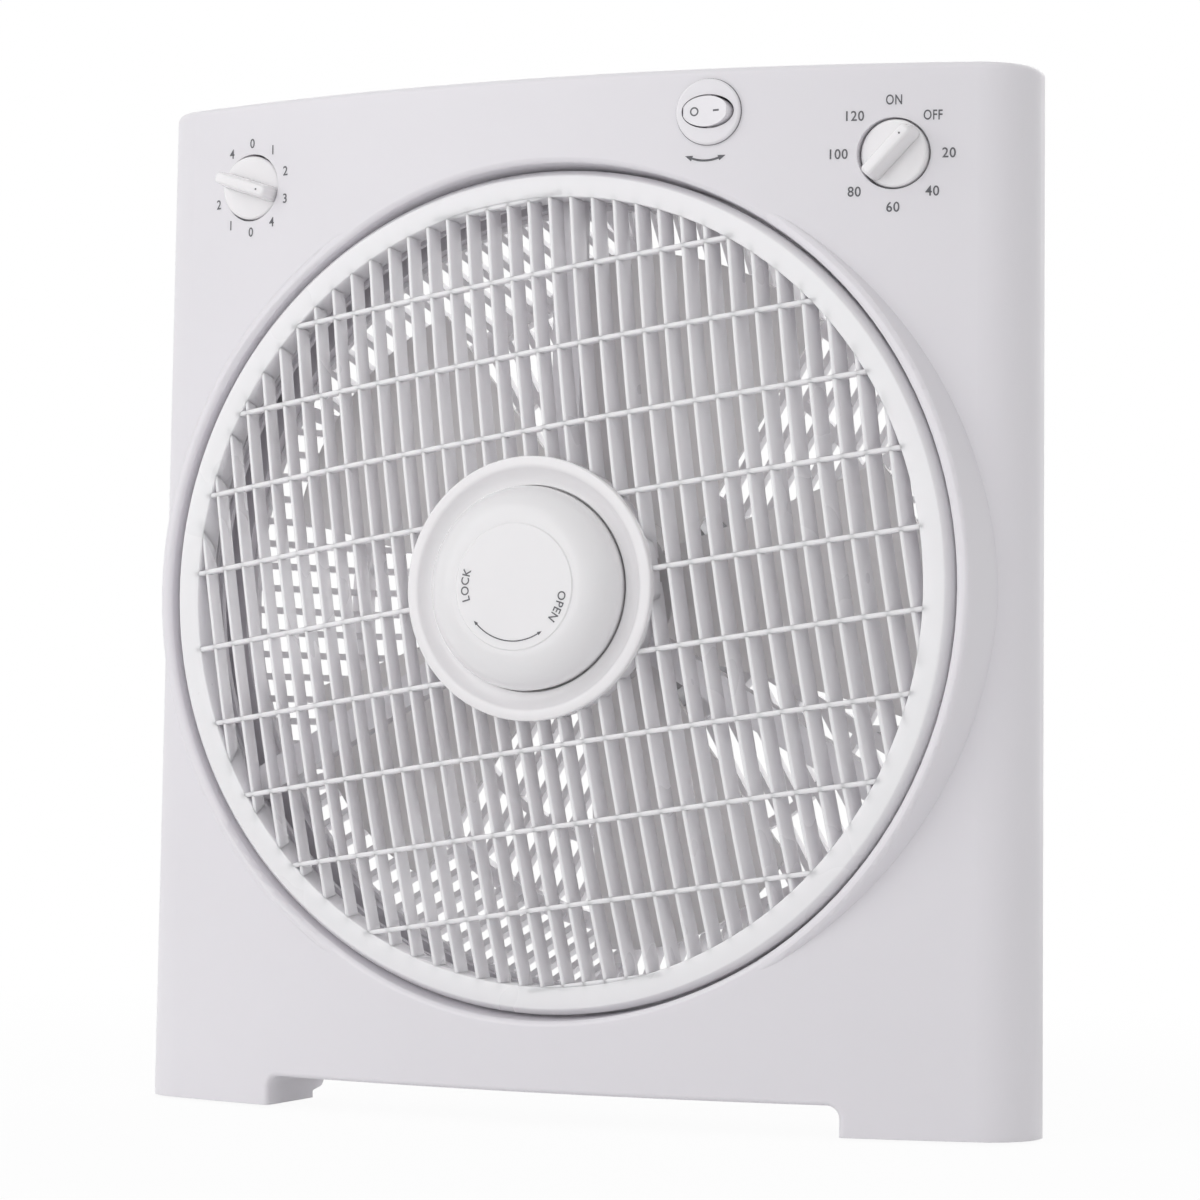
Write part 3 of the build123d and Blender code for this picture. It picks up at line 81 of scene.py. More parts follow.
# Fineness of the meshes: steps of a turn or an arc, length of a bar's pieces, distances that count as none
RIM_STEPS = 180
ROUND_STEPS = 160
SMALL_STEPS = 96
ARC_STEPS = 24
BAR_STEP = 0.008
WELD = 1e-6
PRINT_WELD = 1e-7
NEAR = 1e-5

# Shares: a capital's height in the font's size, growth of its strokes, letter spacing, widths of the print
CAPITAL_SHARE = 0.73
STROKE_SHARE = 0.012
LETTER_SPACE = 1.08
WORD_NARROW = 0.72
NUMERAL_NARROW = 0.92

# Shares: an arrow head's width and overlap, a bar's rounded edge, a slat's seat in the rim, a grip's length
HEAD_WIDE = 0.75
HEAD_OVERLAP = 0.9
BAR_EDGE = 0.4
SLAT_SEAT = 0.8
GRIP_SPAN = 1.97

CABINET_NODES = ("front_housing", "rear_housing")
GRILLE_NODES = ("rear_grille", "support_spider", "terminal_block")
ROCKER_NODES = ("rocker_bezel", "rocker_button")
BLADE_NODES = ("fan_blade", "spinner_nut")
STEEL_NODES = ("lock_washer", "swing_shaft", "motor_shaft", "drive_pin", "speed_shaft", "timer_shaft")
SCREW_NODES = ("spider_screws", "swing_screws", "motor_bolts", "motor_mount_screws", "guard_screws",
               "housing_screws", "speed_switch_screws", "timer_screws")
BRASS_NODES = ("knob_insert", "motor_bush_front", "motor_bush_rear", "rocker_tabs")
MOTOR_NODES = ("motor_front_bell", "motor_rear_bell")
CORE_NODES = ("motor_stator", "motor_rotor")
CASE_NODES = ("speed_switch", "timer_body", "run_capacitor")
RUBBER_NODES = ("foot_pads", "cord_gland")

SPEED_MARKS = (("0", 90), ("1", 54), ("2", 18), ("3", -18), ("4", -54),
               ("0", -90), ("1", -126), ("2", -162), ("3", 162), ("4", 126))
TIMER_MARKS = (("ON", 90), ("OFF", 45), ("20", 0), ("40", -45), ("60", -90),
               ("80", -135), ("100", 180), ("120", 135))
LOCK_WORDS = (("LOCK", 178.0), ("OPEN", -22.0))
LOCK_ARROW_ENDS = (-141, -55)
SWING_ARROW_ENDS = (240, 300)


def colour_property(name, description, default):
    """Colour that a user may change."""
    return bpy.props.FloatVectorProperty(
        name=name, description=description, subtype="COLOR", size=3, min=0.0, max=1.0, default=default)


def length_property(name, description, default):
    """Length that a user may change."""
    return bpy.props.FloatProperty(
        name=name, description=description, unit="LENGTH", min=0.0, default=default)


def power_property(name, description, default):
    """Power of a lamp that a user may change."""
    return bpy.props.FloatProperty(
        name=name, description=description, unit="POWER", min=0.0, default=default)


class FanFinish(bpy.types.PropertyGroup):
    """Colours of the fan's plastics, of its printed marks and of its painted shade marks."""

    cabinet: colour_property("Cabinet", "White of the two halves of the cabinet", (0.835, 0.815, 0.85))
    grille: colour_property("Grille", "White of the louvre and the rear grille", (0.935, 0.918, 0.95))
    gloss: colour_property("Knobs", "White of the knobs and the hub dish", (0.88, 0.865, 0.88))
    rocker: colour_property("Rocker", "White of the rocker and its bezel", (0.85, 0.83, 0.865))
    blade: colour_property("Blades", "White of the fan blades", (0.925, 0.907, 0.90))
    ink_and_painted_shade: colour_property("Print", "Grey of the printed marks and of the painted shade marks", (0.10, 0.10, 0.11))
    rubber: colour_property("Rubber", "Grey of the pads and the gland", (0.20, 0.20, 0.21))


class FanLouvre(bpy.types.PropertyGroup):
    """Sizes of the round front grille."""

    rim_out: length_property("Rim outside", "Outer radius of the rim's skirt", 0.1676)
    rim_face: length_property("Rim face", "Outer radius of the rim's flat face", 0.1652)
    rim_in: length_property("Rim inside", "Inner radius of the flat rim", 0.1566)
    rim_depth: length_property("Rim depth", "Depth of the rim behind the panel's crown", 0.0063)
    rim_wall: length_property("Rim wall", "Thickness of the rim", 0.0022)
    rim_skirt: length_property("Rim skirt", "Length of the rim from front to back", 0.0135)
    rim_flank: length_property("Rim flank", "Depth of the slope from the rim's face to its skirt", 0.0042)
    rim_round: length_property("Rim round", "Radius of the rim's edges", 0.0005)
    slat_pitch: length_property("Slat pitch", "Distance between two slats", 0.00905)
    slat_thick: length_property("Slat thickness", "Thickness of a slat", 0.0015)
    slat_deep: length_property("Slat depth", "Depth of a slat from front to back", 0.012)
    slat_focus: length_property("Slat focus", "Distance in front where the slats would meet", 0.88)
    bar_pitch: length_property("Bar pitch", "Distance between two cross bars", 0.03116)
    bar_wide: length_property("Bar width", "Width of a cross bar", 0.0019)
    bar_deep: length_property("Bar depth", "Depth of a cross bar", 0.0053)
    bar_lift: length_property("Bar lift", "Height of the cross bars over the slats", 0.0003)
    dome_rise: length_property("Dome", "Rise of the dome over its rim", 0.0155)
    recess: length_property("Recess", "Step from the rim down to the slats", 0.0006)
    hub: length_property("Hub", "Radius of the middle of the hub's wall", 0.05)
    hub_wall: length_property("Hub wall", "Thickness of the hub's wall", 0.003)
    hub_plate: length_property("Hub plate", "Height of the hub plate over the panel's crown", 0.0022)
    plate_thick: length_property("Plate thickness", "Thickness of the hub plate", 0.003)
    hub_bore: length_property("Hub bore", "Radius of the bore in the hub", 0.00305)
    hub_boss: length_property("Hub boss", "Radius of the boss behind the hub plate", 0.009)
    boss_back: length_property("Boss back", "Depth of the boss's end behind the panel's crown", 0.006)
    turn: bpy.props.FloatProperty(
        name="Turn", description="Angle at which the louvre stands", unit="ROTATION",
        default=math.radians(8.7))


class FanKnobs(bpy.types.PropertyGroup):
    """Sizes of the hub dish, the lock knob and the two control knobs."""

    dish: length_property("Dish", "Radius of the hub dish", 0.0521)
    dish_rim: length_property("Dish rim", "Width of the dish's flat rim", 0.005)
    dish_front: length_property("Dish front", "Height of the dish's rim over the panel's crown", 0.0112)
    dish_step: length_property("Dish step", "Height of the ring round the lock knob", 0.0082)
    dish_bowl: length_property("Dish bowl", "Radius of the well under the lock knob", 0.0408)
    dish_floor: length_property("Dish floor", "Height of the well's floor", 0.0046)
    dish_wall: length_property("Dish wall", "Thickness of the dish", 0.0024)
    dish_edge: length_property("Dish edge", "Radius of the dish's rounded edges", 0.0008)
    dish_bore: length_property("Dish bore", "Radius of the bore in the dish", 0.0033)
    dish_seat: length_property("Washer seat", "Radius of the washer's seat", 0.013)
    seat_lift: length_property("Seat lift", "Height of the washer's seat over the well's floor", 0.0004)
    dish_hub: length_property("Dish back edge", "Inner radius of the dish's back edge", 0.0482)
    dish_back: length_property("Dish back", "Height of the dish's back edge over the panel's crown", 0.00735)
    hollow_in: length_property("Hollow middle", "Distance of the hollow's middle from the rim", 0.0022)
    hollow_lift: length_property("Hollow lift", "Height of the hollow's middle over the ring", 0.0006)
    lock: length_property("Lock knob", "Radius of the lock knob", 0.0402)
    lock_edge: length_property("Lock knob edge", "Height of the lock knob's widest line", 0.013)
    lock_crown: length_property("Lock knob crown", "Radius of the lock knob's flat face", 0.0255)
    lock_front: length_property("Lock knob front", "Height of the lock knob's face", 0.0241)
    lock_skirt: length_property("Lock knob skirt", "Height of the lock knob's lower edge", 0.0062)
    lock_wall: length_property("Lock knob wall", "Thickness of the lock knob", 0.0022)
    lock_step: length_property("Lock knob step", "Step round the lock knob's face and at its skirt", 0.0005)
    lock_bulge: length_property("Lock knob bulge", "How far the flank bulges outward", 0.0032)
    lock_swell: length_property("Lock knob swell", "How far the flank bulges forward", 0.0016)
    lock_boss: length_property("Lock knob boss", "Radius of the boss inside the lock knob", 0.008)
    lock_bore: length_property("Lock knob bore", "Radius of the bore for the bush", 0.00505)
    boss_end: length_property("Boss end", "Height of the boss's end over the panel's crown", 0.006)
    dial: length_property("Control knob", "Radius of a control knob", 0.0132)
    dial_sink: length_property("Control knob sink", "Height of a control knob's disc over the panel", 0.0005)
    dial_thick: length_property("Control knob thickness", "Thickness of a control knob's disc", 0.005)
    dial_edge: length_property("Control knob edge", "Radius of the disc's rounded edge", 0.001)
    dial_bore: length_property("Control knob bore", "Radius of the bore for the shaft", 0.00305)
    stem: length_property("Stem", "Radius of the stem behind the disc", 0.005)
    stem_long: length_property("Stem length", "Length of the stem behind the disc", 0.003)
    bar_wide: length_property("Grip width", "Width of the grip bar at its foot", 0.0064)
    bar_stand: length_property("Grip height", "Height of the grip bar", 0.0105)
    bar_draft: length_property("Grip draft", "Taper of the grip bar on each side", 0.00092)
    bar_round: length_property("Grip round", "Radius of the grip bar's edges", 0.0013)
    bar_corner: length_property("Grip corner", "Radius of the grip bar's upright corners", 0.0022)
    # Painted shade: a dark dot standing for a small dimple on the grip bar
    dot: length_property("Dot", "Radius of the dark dot of painted shade for the dimple on the grip bar", 0.0004)
    painted_shade_offset: length_property("Dimple shade offset", "Distance of the dark dot of painted shade from the knob's middle", 0.0082)


class FanPrintAndShade(bpy.types.PropertyGroup):
    """Sizes of the printed marks and of the painted shade marks."""

    dial_x: length_property("Dial offset", "Distance of the dials from the middle", 0.140)
    speed_ring: length_property("Speed ring", "Radius of the ring of speed numerals", 0.0185)
    timer_ring: length_property("Timer ring", "Radius of the ring of timer marks", 0.0208)
    numeral: length_property("Numeral", "Height of the numerals", 0.0040)
    ink_thick: length_property("Ink", "Thickness of the printed layer", 0.00005)
    swing_ring: length_property("Swing arrow", "Radius of the swing arrow", 0.0155)
    swing_line: length_property("Swing line", "Width of the swing arrow's line", 0.00085)
    swing_head: length_property("Swing head", "Length of the swing arrow's heads", 0.003)
    # Painted shadow: a thin dark ring round the bezel standing for a narrow gap that the solids lack
    painted_shadow_radius: length_property("Bezel painted shadow", "Radius of the thin dark ring of painted shadow round the rocker's bezel", 0.0131)
    painted_shadow_width: length_property("Bezel painted shadow width", "Width of the thin dark ring of painted shadow round the rocker's bezel", 0.00022)
    sign_off: length_property("Sign offset", "Distance of the rocker's signs from its middle", 0.0047)
    sign_ring: length_property("Round sign", "Radius of the rocker's round sign", 0.0015)
    sign_line: length_property("Round sign line", "Width of the round sign's line", 0.0006)
    sign_long: length_property("Bar sign", "Length of the rocker's bar sign", 0.0026)
    sign_wide: length_property("Bar sign width", "Width of the rocker's bar sign", 0.0007)
    lock_arrow: length_property("Lock arrow", "Radius of the lock knob's arrow", 0.0212)
    lock_line: length_property("Lock line", "Width of the lock knob's arrow", 0.00045)
    lock_head: length_property("Lock head", "Length of the lock knob's arrow heads", 0.0019)
    lock_ring: length_property("Lock words", "Radius of the ring of the lock knob's words", 0.0208)
    lock_word: length_property("Lock word height", "Height of the lock knob's words", 0.0034)


class FanStudio(bpy.types.PropertyGroup):
    """Floor, lamps and camera."""

    floor: colour_property("Floor", "Colour of the floor", (0.95, 0.95, 0.955))
    floor_half: length_property("Floor half", "Half of the floor's side", 40.0)
    floor_near: length_property("Shadow reach", "Distance up to which the floor keeps its shadow", 0.3)
    floor_far: length_property("White from", "Distance from which the floor is plain white", 0.8)
    floor_white: bpy.props.FloatProperty(
        name="Floor white", description="Share of plain white in the floor near the fan", default=0.94)
    key: power_property("Key lamp", "Power of the large lamp", 22.0)
    fill: power_property("Fill lamp", "Power of the second lamp", 6.0)
    back: power_property("Back lamp", "Power of the lamp behind the fan", 15.0)
    room: bpy.props.FloatProperty(name="Room", description="Strength of the even room light", default=0.62)
    lens: bpy.props.FloatProperty(name="Lens", description="Focal length", unit="CAMERA", default=109.18)


def new_group(name, inputs, outputs):
    """Shader node group with named sockets, as (tree, input node, output node)."""
    tree = bpy.data.node_groups.new(name, "ShaderNodeTree")
    for label, kind, value in inputs:
        socket = tree.interface.new_socket(label, in_out="INPUT", socket_type=kind)
        if value is not None:
            socket.default_value = value
    for label, kind in outputs:
        tree.interface.new_socket(label, in_out="OUTPUT", socket_type=kind)
    return tree, tree.nodes.new("NodeGroupInput"), tree.nodes.new("NodeGroupOutput")


def noise(tree, vector, scale, detail, rough=0.5):
    """Noise texture, its scale a number or a socket."""
    node = tree.nodes.new("ShaderNodeTexNoise")
    node.inputs["Detail"].default_value = detail
    node.inputs["Roughness"].default_value = rough
    if isinstance(scale, (int, float)):
        node.inputs["Scale"].default_value = scale
    else:
        tree.links.new(scale, node.inputs["Scale"])
    tree.links.new(vector, node.inputs["Vector"])
    return node.outputs["Fac"]


def remap(tree, value, low, high):
    """Value from 0.3 to 0.7 spread between two levels, each a number or a socket."""
    node = tree.nodes.new("ShaderNodeMapRange")
    node.inputs["From Min"].default_value = 0.3
    node.inputs["From Max"].default_value = 0.7
    for label, level in (("To Min", low), ("To Max", high)):
        if isinstance(level, (int, float)):
            node.inputs[label].default_value = level
        else:
            tree.links.new(level, node.inputs[label])
    tree.links.new(value, node.inputs["Value"])
    return node.outputs["Result"]


def mix_colour(tree, share, first, second):
    """Mix of two colours, each a socket."""
    node = tree.nodes.new("ShaderNodeMix")
    node.data_type = "RGBA"
    tree.links.new(share, node.inputs["Factor"])
    tree.links.new(first, node.inputs["A"])
    tree.links.new(second, node.inputs["B"])
    return node.outputs["Result"]


def mottle_group():
    """Slow drift between two tones, as in moulded plastic and cast metal."""
    if "Tone drift" in bpy.data.node_groups:
        return bpy.data.node_groups["Tone drift"]
    tree, inlet, outlet = new_group(
        "Tone drift",
        [("Vector", "NodeSocketVector", None), ("Tone", "NodeSocketColor", None),
         ("Second Tone", "NodeSocketColor", None), ("Spots", "NodeSocketFloat", 14.0),
         ("Amount", "NodeSocketFloat", 1.0)],
        [("Colour", "NodeSocketColor")])
    cloud = noise(tree, inlet.outputs["Vector"], inlet.outputs["Spots"], 3.0)
    share = remap(tree, cloud, 0.0, inlet.outputs["Amount"])
    colour = mix_colour(tree, share, inlet.outputs["Tone"], inlet.outputs["Second Tone"])
    tree.links.new(colour, outlet.inputs["Colour"])
    return tree


def grain_group():
    """Fine texture of a moulded skin: a height, and a roughness that drifts."""
    if "Moulded grain" in bpy.data.node_groups:
        return bpy.data.node_groups["Moulded grain"]
    tree, inlet, outlet = new_group(
        "Moulded grain",
        [("Vector", "NodeSocketVector", None), ("Grain", "NodeSocketFloat", 2200.0),
         ("Smoothest", "NodeSocketFloat", 0.3), ("Roughest", "NodeSocketFloat", 0.4)],
        [("Roughness", "NodeSocketFloat"), ("Height", "NodeSocketFloat")])
    fine = noise(tree, inlet.outputs["Vector"], inlet.outputs["Grain"], 2.0, 0.6)
    slow = noise(tree, inlet.outputs["Vector"], 22.0, 2.0)
    level = remap(tree, slow, inlet.outputs["Smoothest"], inlet.outputs["Roughest"])
    tree.links.new(level, outlet.inputs["Roughness"])
    tree.links.new(fine, outlet.inputs["Height"])
    return tree


def finish_material(name, tone, second, smoothest, roughest, grain, depth, spots,
                    metal=0.0, coat=0.0, glow=0.0):
    """Material of two tones, a drifting roughness and a fine grain; glow is the light let into its skin."""
    material = bpy.data.materials.new(name)
    material.use_nodes = True
    tree = material.node_tree
    shader = tree.nodes["Principled BSDF"]
    place = tree.nodes.new("ShaderNodeTexCoord").outputs["Object"]
    drift = tree.nodes.new("ShaderNodeGroup")
    drift.node_tree = mottle_group()
    drift.inputs["Tone"].default_value = (*tone, 1.0)
    drift.inputs["Second Tone"].default_value = (*second, 1.0)
    drift.inputs["Spots"].default_value = spots
    skin = tree.nodes.new("ShaderNodeGroup")
    skin.node_tree = grain_group()
    skin.inputs["Grain"].default_value = grain
    skin.inputs["Smoothest"].default_value = smoothest
    skin.inputs["Roughest"].default_value = roughest
    bump = tree.nodes.new("ShaderNodeBump")
    bump.inputs["Strength"].default_value = 0.25
    bump.inputs["Distance"].default_value = depth
    tree.links.new(place, drift.inputs["Vector"])
    tree.links.new(place, skin.inputs["Vector"])
    tree.links.new(drift.outputs["Colour"], shader.inputs["Base Color"])
    tree.links.new(skin.outputs["Roughness"], shader.inputs["Roughness"])
    tree.links.new(skin.outputs["Height"], bump.inputs["Height"])
    tree.links.new(bump.outputs["Normal"], shader.inputs["Normal"])
    shader.inputs["Metallic"].default_value = metal
    shader.inputs["Coat Weight"].default_value = coat
    shader.inputs["Coat Roughness"].default_value = 0.12
    shader.inputs["Subsurface Weight"].default_value = glow
    shader.inputs["Subsurface Radius"].default_value = (1.0, 0.95, 0.95)
    shader.inputs["Subsurface Scale"].default_value = 0.0025
    return material


def shade(tone, factor):
    """Tone made lighter or darker."""
    return tuple(min(1.0, part * factor) for part in tone)


def give(nodes, material):
    """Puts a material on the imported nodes."""
    for name in nodes:
        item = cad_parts[name]
        if not item.material_slots:
            item.data.materials.append(material)
        for place in item.material_slots:
            place.material = material


def panel_depth(x):
    """Place of the bowed panel's skin at a distance from the middle."""
    return CROWN_Y + BOW_RADIUS - math.sqrt(BOW_RADIUS ** 2 - x * x)


def lettering(words, height, thick, narrow=1.0):
    """Mesh of a word in the XY plane, centred, its front towards +Z."""
    curve = bpy.data.curves.new("word", "FONT")
    curve.body = words
    curve.size = height / CAPITAL_SHARE
    curve.extrude = thick / 2
    curve.offset = STROKE_SHARE * height
    curve.resolution_u = 4
    curve.space_character = LETTER_SPACE
    curve.align_x = "CENTER"
    curve.align_y = "CENTER"
    item = bpy.data.objects.new("word", curve)
    bpy.context.scene.collection.objects.link(item)
    bpy.context.view_layer.update()
    mesh = bpy.data.meshes.new_from_object(item.evaluated_get(bpy.context.evaluated_depsgraph_get()))
    bpy.data.objects.remove(item)
    bpy.data.curves.remove(curve)
    bm = bmesh.new()
    bm.from_mesh(mesh)
    bpy.data.meshes.remove(mesh)
    bmesh.ops.scale(bm, vec=(narrow, 1, 1), verts=bm.verts)
    bmesh.ops.remove_doubles(bm, verts=bm.verts, dist=WELD)
    return bm


def centre_mesh(bm):
    """Moves a flat mesh so that its box is centred on the origin in X and Y."""
    xs = [v.co.x for v in bm.verts]
    ys = [v.co.y for v in bm.verts]
    middle = Vector(((min(xs) + max(xs)) / 2, (min(ys) + max(ys)) / 2, 0.0))
    bmesh.ops.translate(bm, vec=-middle, verts=bm.verts)


def add_piece(name, meshes, material, body):
    """One object from several meshes, riding on a body."""
    whole = bmesh.new()
    for bm in meshes:
        part = bpy.data.meshes.new("part")
        bm.to_mesh(part)
        bm.free()
        whole.from_mesh(part)
        bpy.data.meshes.remove(part)
    bmesh.ops.recalc_face_normals(whole, faces=whole.faces)
    mesh = bpy.data.meshes.new(name)
    whole.to_mesh(mesh)
    whole.free()
    mesh.materials.append(material)
    item = bpy.data.objects.new(name, mesh)
    bpy.context.scene.collection.objects.link(item)
    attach(item, body)
    return item


def onto_panel(bm, x, z, lift):
    """Lays a flat mesh on the bowed panel at a place, its front towards the viewer."""
    for v in bm.verts:
        u, w, out = v.co
        v.co = Vector((x + u, panel_depth(x + u) - lift - out, z + w))


def arc_strip(radius, wide, thick, start, end, steps):
    """Curved strip in the XY plane, from one angle to another."""
    bm = bmesh.new()
    corners = [(radius - wide / 2, -thick / 2), (radius + wide / 2, -thick / 2),
               (radius + wide / 2, thick / 2), (radius - wide / 2, thick / 2)]
    turn = Matrix.Rotation(math.radians(start), 4, "Z")
    verts = [bm.verts.new(turn @ Vector((r, 0, h))) for r, h in corners]
    closed = end - start >= 360
    if closed:
        geom = verts + [bm.edges.new((verts[i - 1], verts[i])) for i in range(4)]
    else:
        geom = [bm.faces.new(verts)]
    bmesh.ops.spin(bm, geom=geom, cent=(0, 0, 0), axis=(0, 0, 1), dvec=(0, 0, 0),
                   angle=math.radians(end - start), steps=steps, use_merge=closed)
    bmesh.ops.remove_doubles(bm, verts=bm.verts, dist=PRINT_WELD)
    return bm


def arrow_head(radius, angle, long, wide, thick, onward):
    """Triangle at the end of a curved strip, pointing along it."""
    bm = bmesh.new()
    points = [(0, -wide / 2), (long, 0), (0, wide / 2)]
    base = bm.faces.new([bm.verts.new((px, py, -thick / 2)) for px, py in points])
    grown = bmesh.ops.extrude_face_region(bm, geom=[base])
    raised = [part for part in grown["geom"] if isinstance(part, bmesh.types.BMVert)]
    bmesh.ops.translate(bm, vec=(0, 0, thick), verts=raised)
    heading = angle + (90 if onward else -90)
    place = (Matrix.Rotation(math.radians(angle), 4, "Z") @ Matrix.Translation((radius, 0, 0))
             @ Matrix.Rotation(math.radians(heading - angle), 4, "Z"))
    bmesh.ops.transform(bm, matrix=place, verts=bm.verts)
    return bm


def double_arrow(radius, wide, thick, start, end, head):
    """Curved arrow with a head at each end, as separate meshes."""
    inset = math.degrees(head / radius) * HEAD_OVERLAP
    return [arc_strip(radius, wide, thick, start + inset, end - inset, ARC_STEPS),
            arrow_head(radius, end - inset, head, head * HEAD_WIDE, thick, True),
            arrow_head(radius, start + inset, head, head * HEAD_WIDE, thick, False)]


def spun(profile, steps):
    """Shape turned about the fan axis from an outline of (radius, depth), closed or from axis to axis."""
    bm = bmesh.new()
    verts = [bm.verts.new((radius, CROWN_Y + depth, 0.0)) for radius, depth in profile]
    first = 0 if profile[0][0] > 0 else 1
    edges = [bm.edges.new((verts[i - 1], verts[i])) for i in range(first, len(verts))]
    bmesh.ops.spin(bm, geom=verts + edges, cent=(0, 0, 0), axis=(0, 1, 0), dvec=(0, 0, 0),
                   angle=2 * math.pi, steps=steps, use_merge=True)
    bmesh.ops.remove_doubles(bm, verts=bm.verts, dist=WELD)
    bmesh.ops.recalc_face_normals(bm, faces=bm.faces)
    return bm


def round_edges(bm, edges, offset, segments):
    """Rounds the given edges."""
    bmesh.ops.bevel(bm, geom=edges, offset=offset, offset_type="OFFSET", segments=segments, profile=0.5,
                    affect="EDGES", material=-1)


def round_ring(bm, radius, depth, offset):
    """Rounds the circular edge of a turned ring at a radius and a depth."""
    def near(v):
        return abs(math.hypot(v.co.x, v.co.z) - radius) < NEAR and abs(v.co.y - CROWN_Y - depth) < NEAR
    round_edges(bm, [e for e in bm.edges if near(e.verts[0]) and near(e.verts[1])], offset, 4)


def block(size, middle):
    """Cuboid of a size with its middle at a place."""
    bm = bmesh.new()
    bmesh.ops.create_cube(bm, size=1.0)
    bmesh.ops.scale(bm, vec=size, verts=bm.verts)
    bmesh.ops.translate(bm, vec=middle, verts=bm.verts)
    return bm


def soft_bar(wide, deep, start, end, step):
    """Straight bar along Z with rounded long edges, its front at Y = 0, in short lengths."""
    long = end - start
    bm = block((wide, deep, long), (0, deep / 2, (start + end) / 2))

    def along():
        return [e for e in bm.edges if abs(e.verts[0].co.z - e.verts[1].co.z) > long / 2]
    round_edges(bm, along(), BAR_EDGE * wide, 3)
    cuts = max(1, int(long / step))
    bmesh.ops.subdivide_edges(bm, edges=along(), cuts=cuts, use_grid_fill=True)
    return bm


def bend(start, middle, end, count):
    """Points on the circle through three points of (radius, depth), from the first to the last."""
    (ax, ay), (bx, by), (cx, cy) = start, middle, end
    span = 2 * (ax * (by - cy) + bx * (cy - ay) + cx * (ay - by))
    first, second, third = ax * ax + ay * ay, bx * bx + by * by, cx * cx + cy * cy
    x = (first * (by - cy) + second * (cy - ay) + third * (ay - by)) / span
    y = (first * (cx - bx) + second * (ax - cx) + third * (bx - ax)) / span
    radius = math.hypot(ax - x, ay - y)
    low, high = math.atan2(ay - y, ax - x), math.atan2(cy - y, cx - x)
    angles = [low + (high - low) * i / count for i in range(count + 1)]
    return [(x + radius * math.cos(turn), y + radius * math.sin(turn)) for turn in angles]


def smooth(item, degrees):
    """Smooth shading, with the edges sharper than an angle kept."""
    item.data.shade_smooth()
    item.data.set_sharp_from_angle(angle=math.radians(degrees))


class FanPiece:
    """Shared settings of the operators."""

    bl_options = {"REGISTER", "UNDO"}

    @property
    def finish(self):
        return bpy.context.scene.fan_finish

    @property
    def marks(self):
        return bpy.context.scene.fan_print

    def grille_white(self):
        """Material of the grilles, made once."""
        if "Grille white" in bpy.data.materials:
            return bpy.data.materials["Grille white"]
        tone = tuple(self.finish.grille)
        return finish_material("Grille white", tone, shade(tone, 0.98), smoothest=0.26, roughest=0.34,
                               grain=3000.0, depth=0.000006, spots=16.0, glow=0.6)

    def knob_white(self):
        """Material of the knobs and the hub dish, made once."""
        if "Knob white" in bpy.data.materials:
            return bpy.data.materials["Knob white"]
        tone = tuple(self.finish.gloss)
        return finish_material("Knob white", tone, shade(tone, 0.985), smoothest=0.2, roughest=0.26,
                               grain=3600.0, depth=0.000003, spots=30.0, coat=0.15, glow=0.5)

    def ink_and_painted_shade(self):
        """Material of the printed marks and of the painted shade marks, made once."""
        if "Print and painted shade grey" in bpy.data.materials:
            return bpy.data.materials["Print and painted shade grey"]
        # The same dark grey serves the print and the painted shade: a ring round the rocker's bezel and a
        # dot on each grip bar
        tone = tuple(self.finish.ink_and_painted_shade)
        return finish_material("Print and painted shade grey", tone, shade(tone, 1.35), smoothest=0.45, roughest=0.6,
                               grain=5000.0, depth=0.000004, spots=900.0)


class FAN_OT_cabinet(FanPiece, bpy.types.Operator):
    """Give the two halves of the cabinet their satin white."""

    bl_idname = "fan.cabinet"
    bl_label = "Cabinet"

    def execute(self, context):
        tone = tuple(self.finish.cabinet)
        give(CABINET_NODES, finish_material(
            "Cabinet white", tone, shade(tone, 0.985), smoothest=0.34, roughest=0.42,
            grain=2600.0, depth=0.000012, spots=9.0, glow=0.5))
        return {"FINISHED"}


class FAN_OT_grilles(FanPiece, bpy.types.Operator):
    """Give the rear grille, the spider and the terminal block their satin white."""

    bl_idname = "fan.grilles"
    bl_label = "Grilles"

    def execute(self, context):
        give(GRILLE_NODES, self.grille_white())
        return {"FINISHED"}


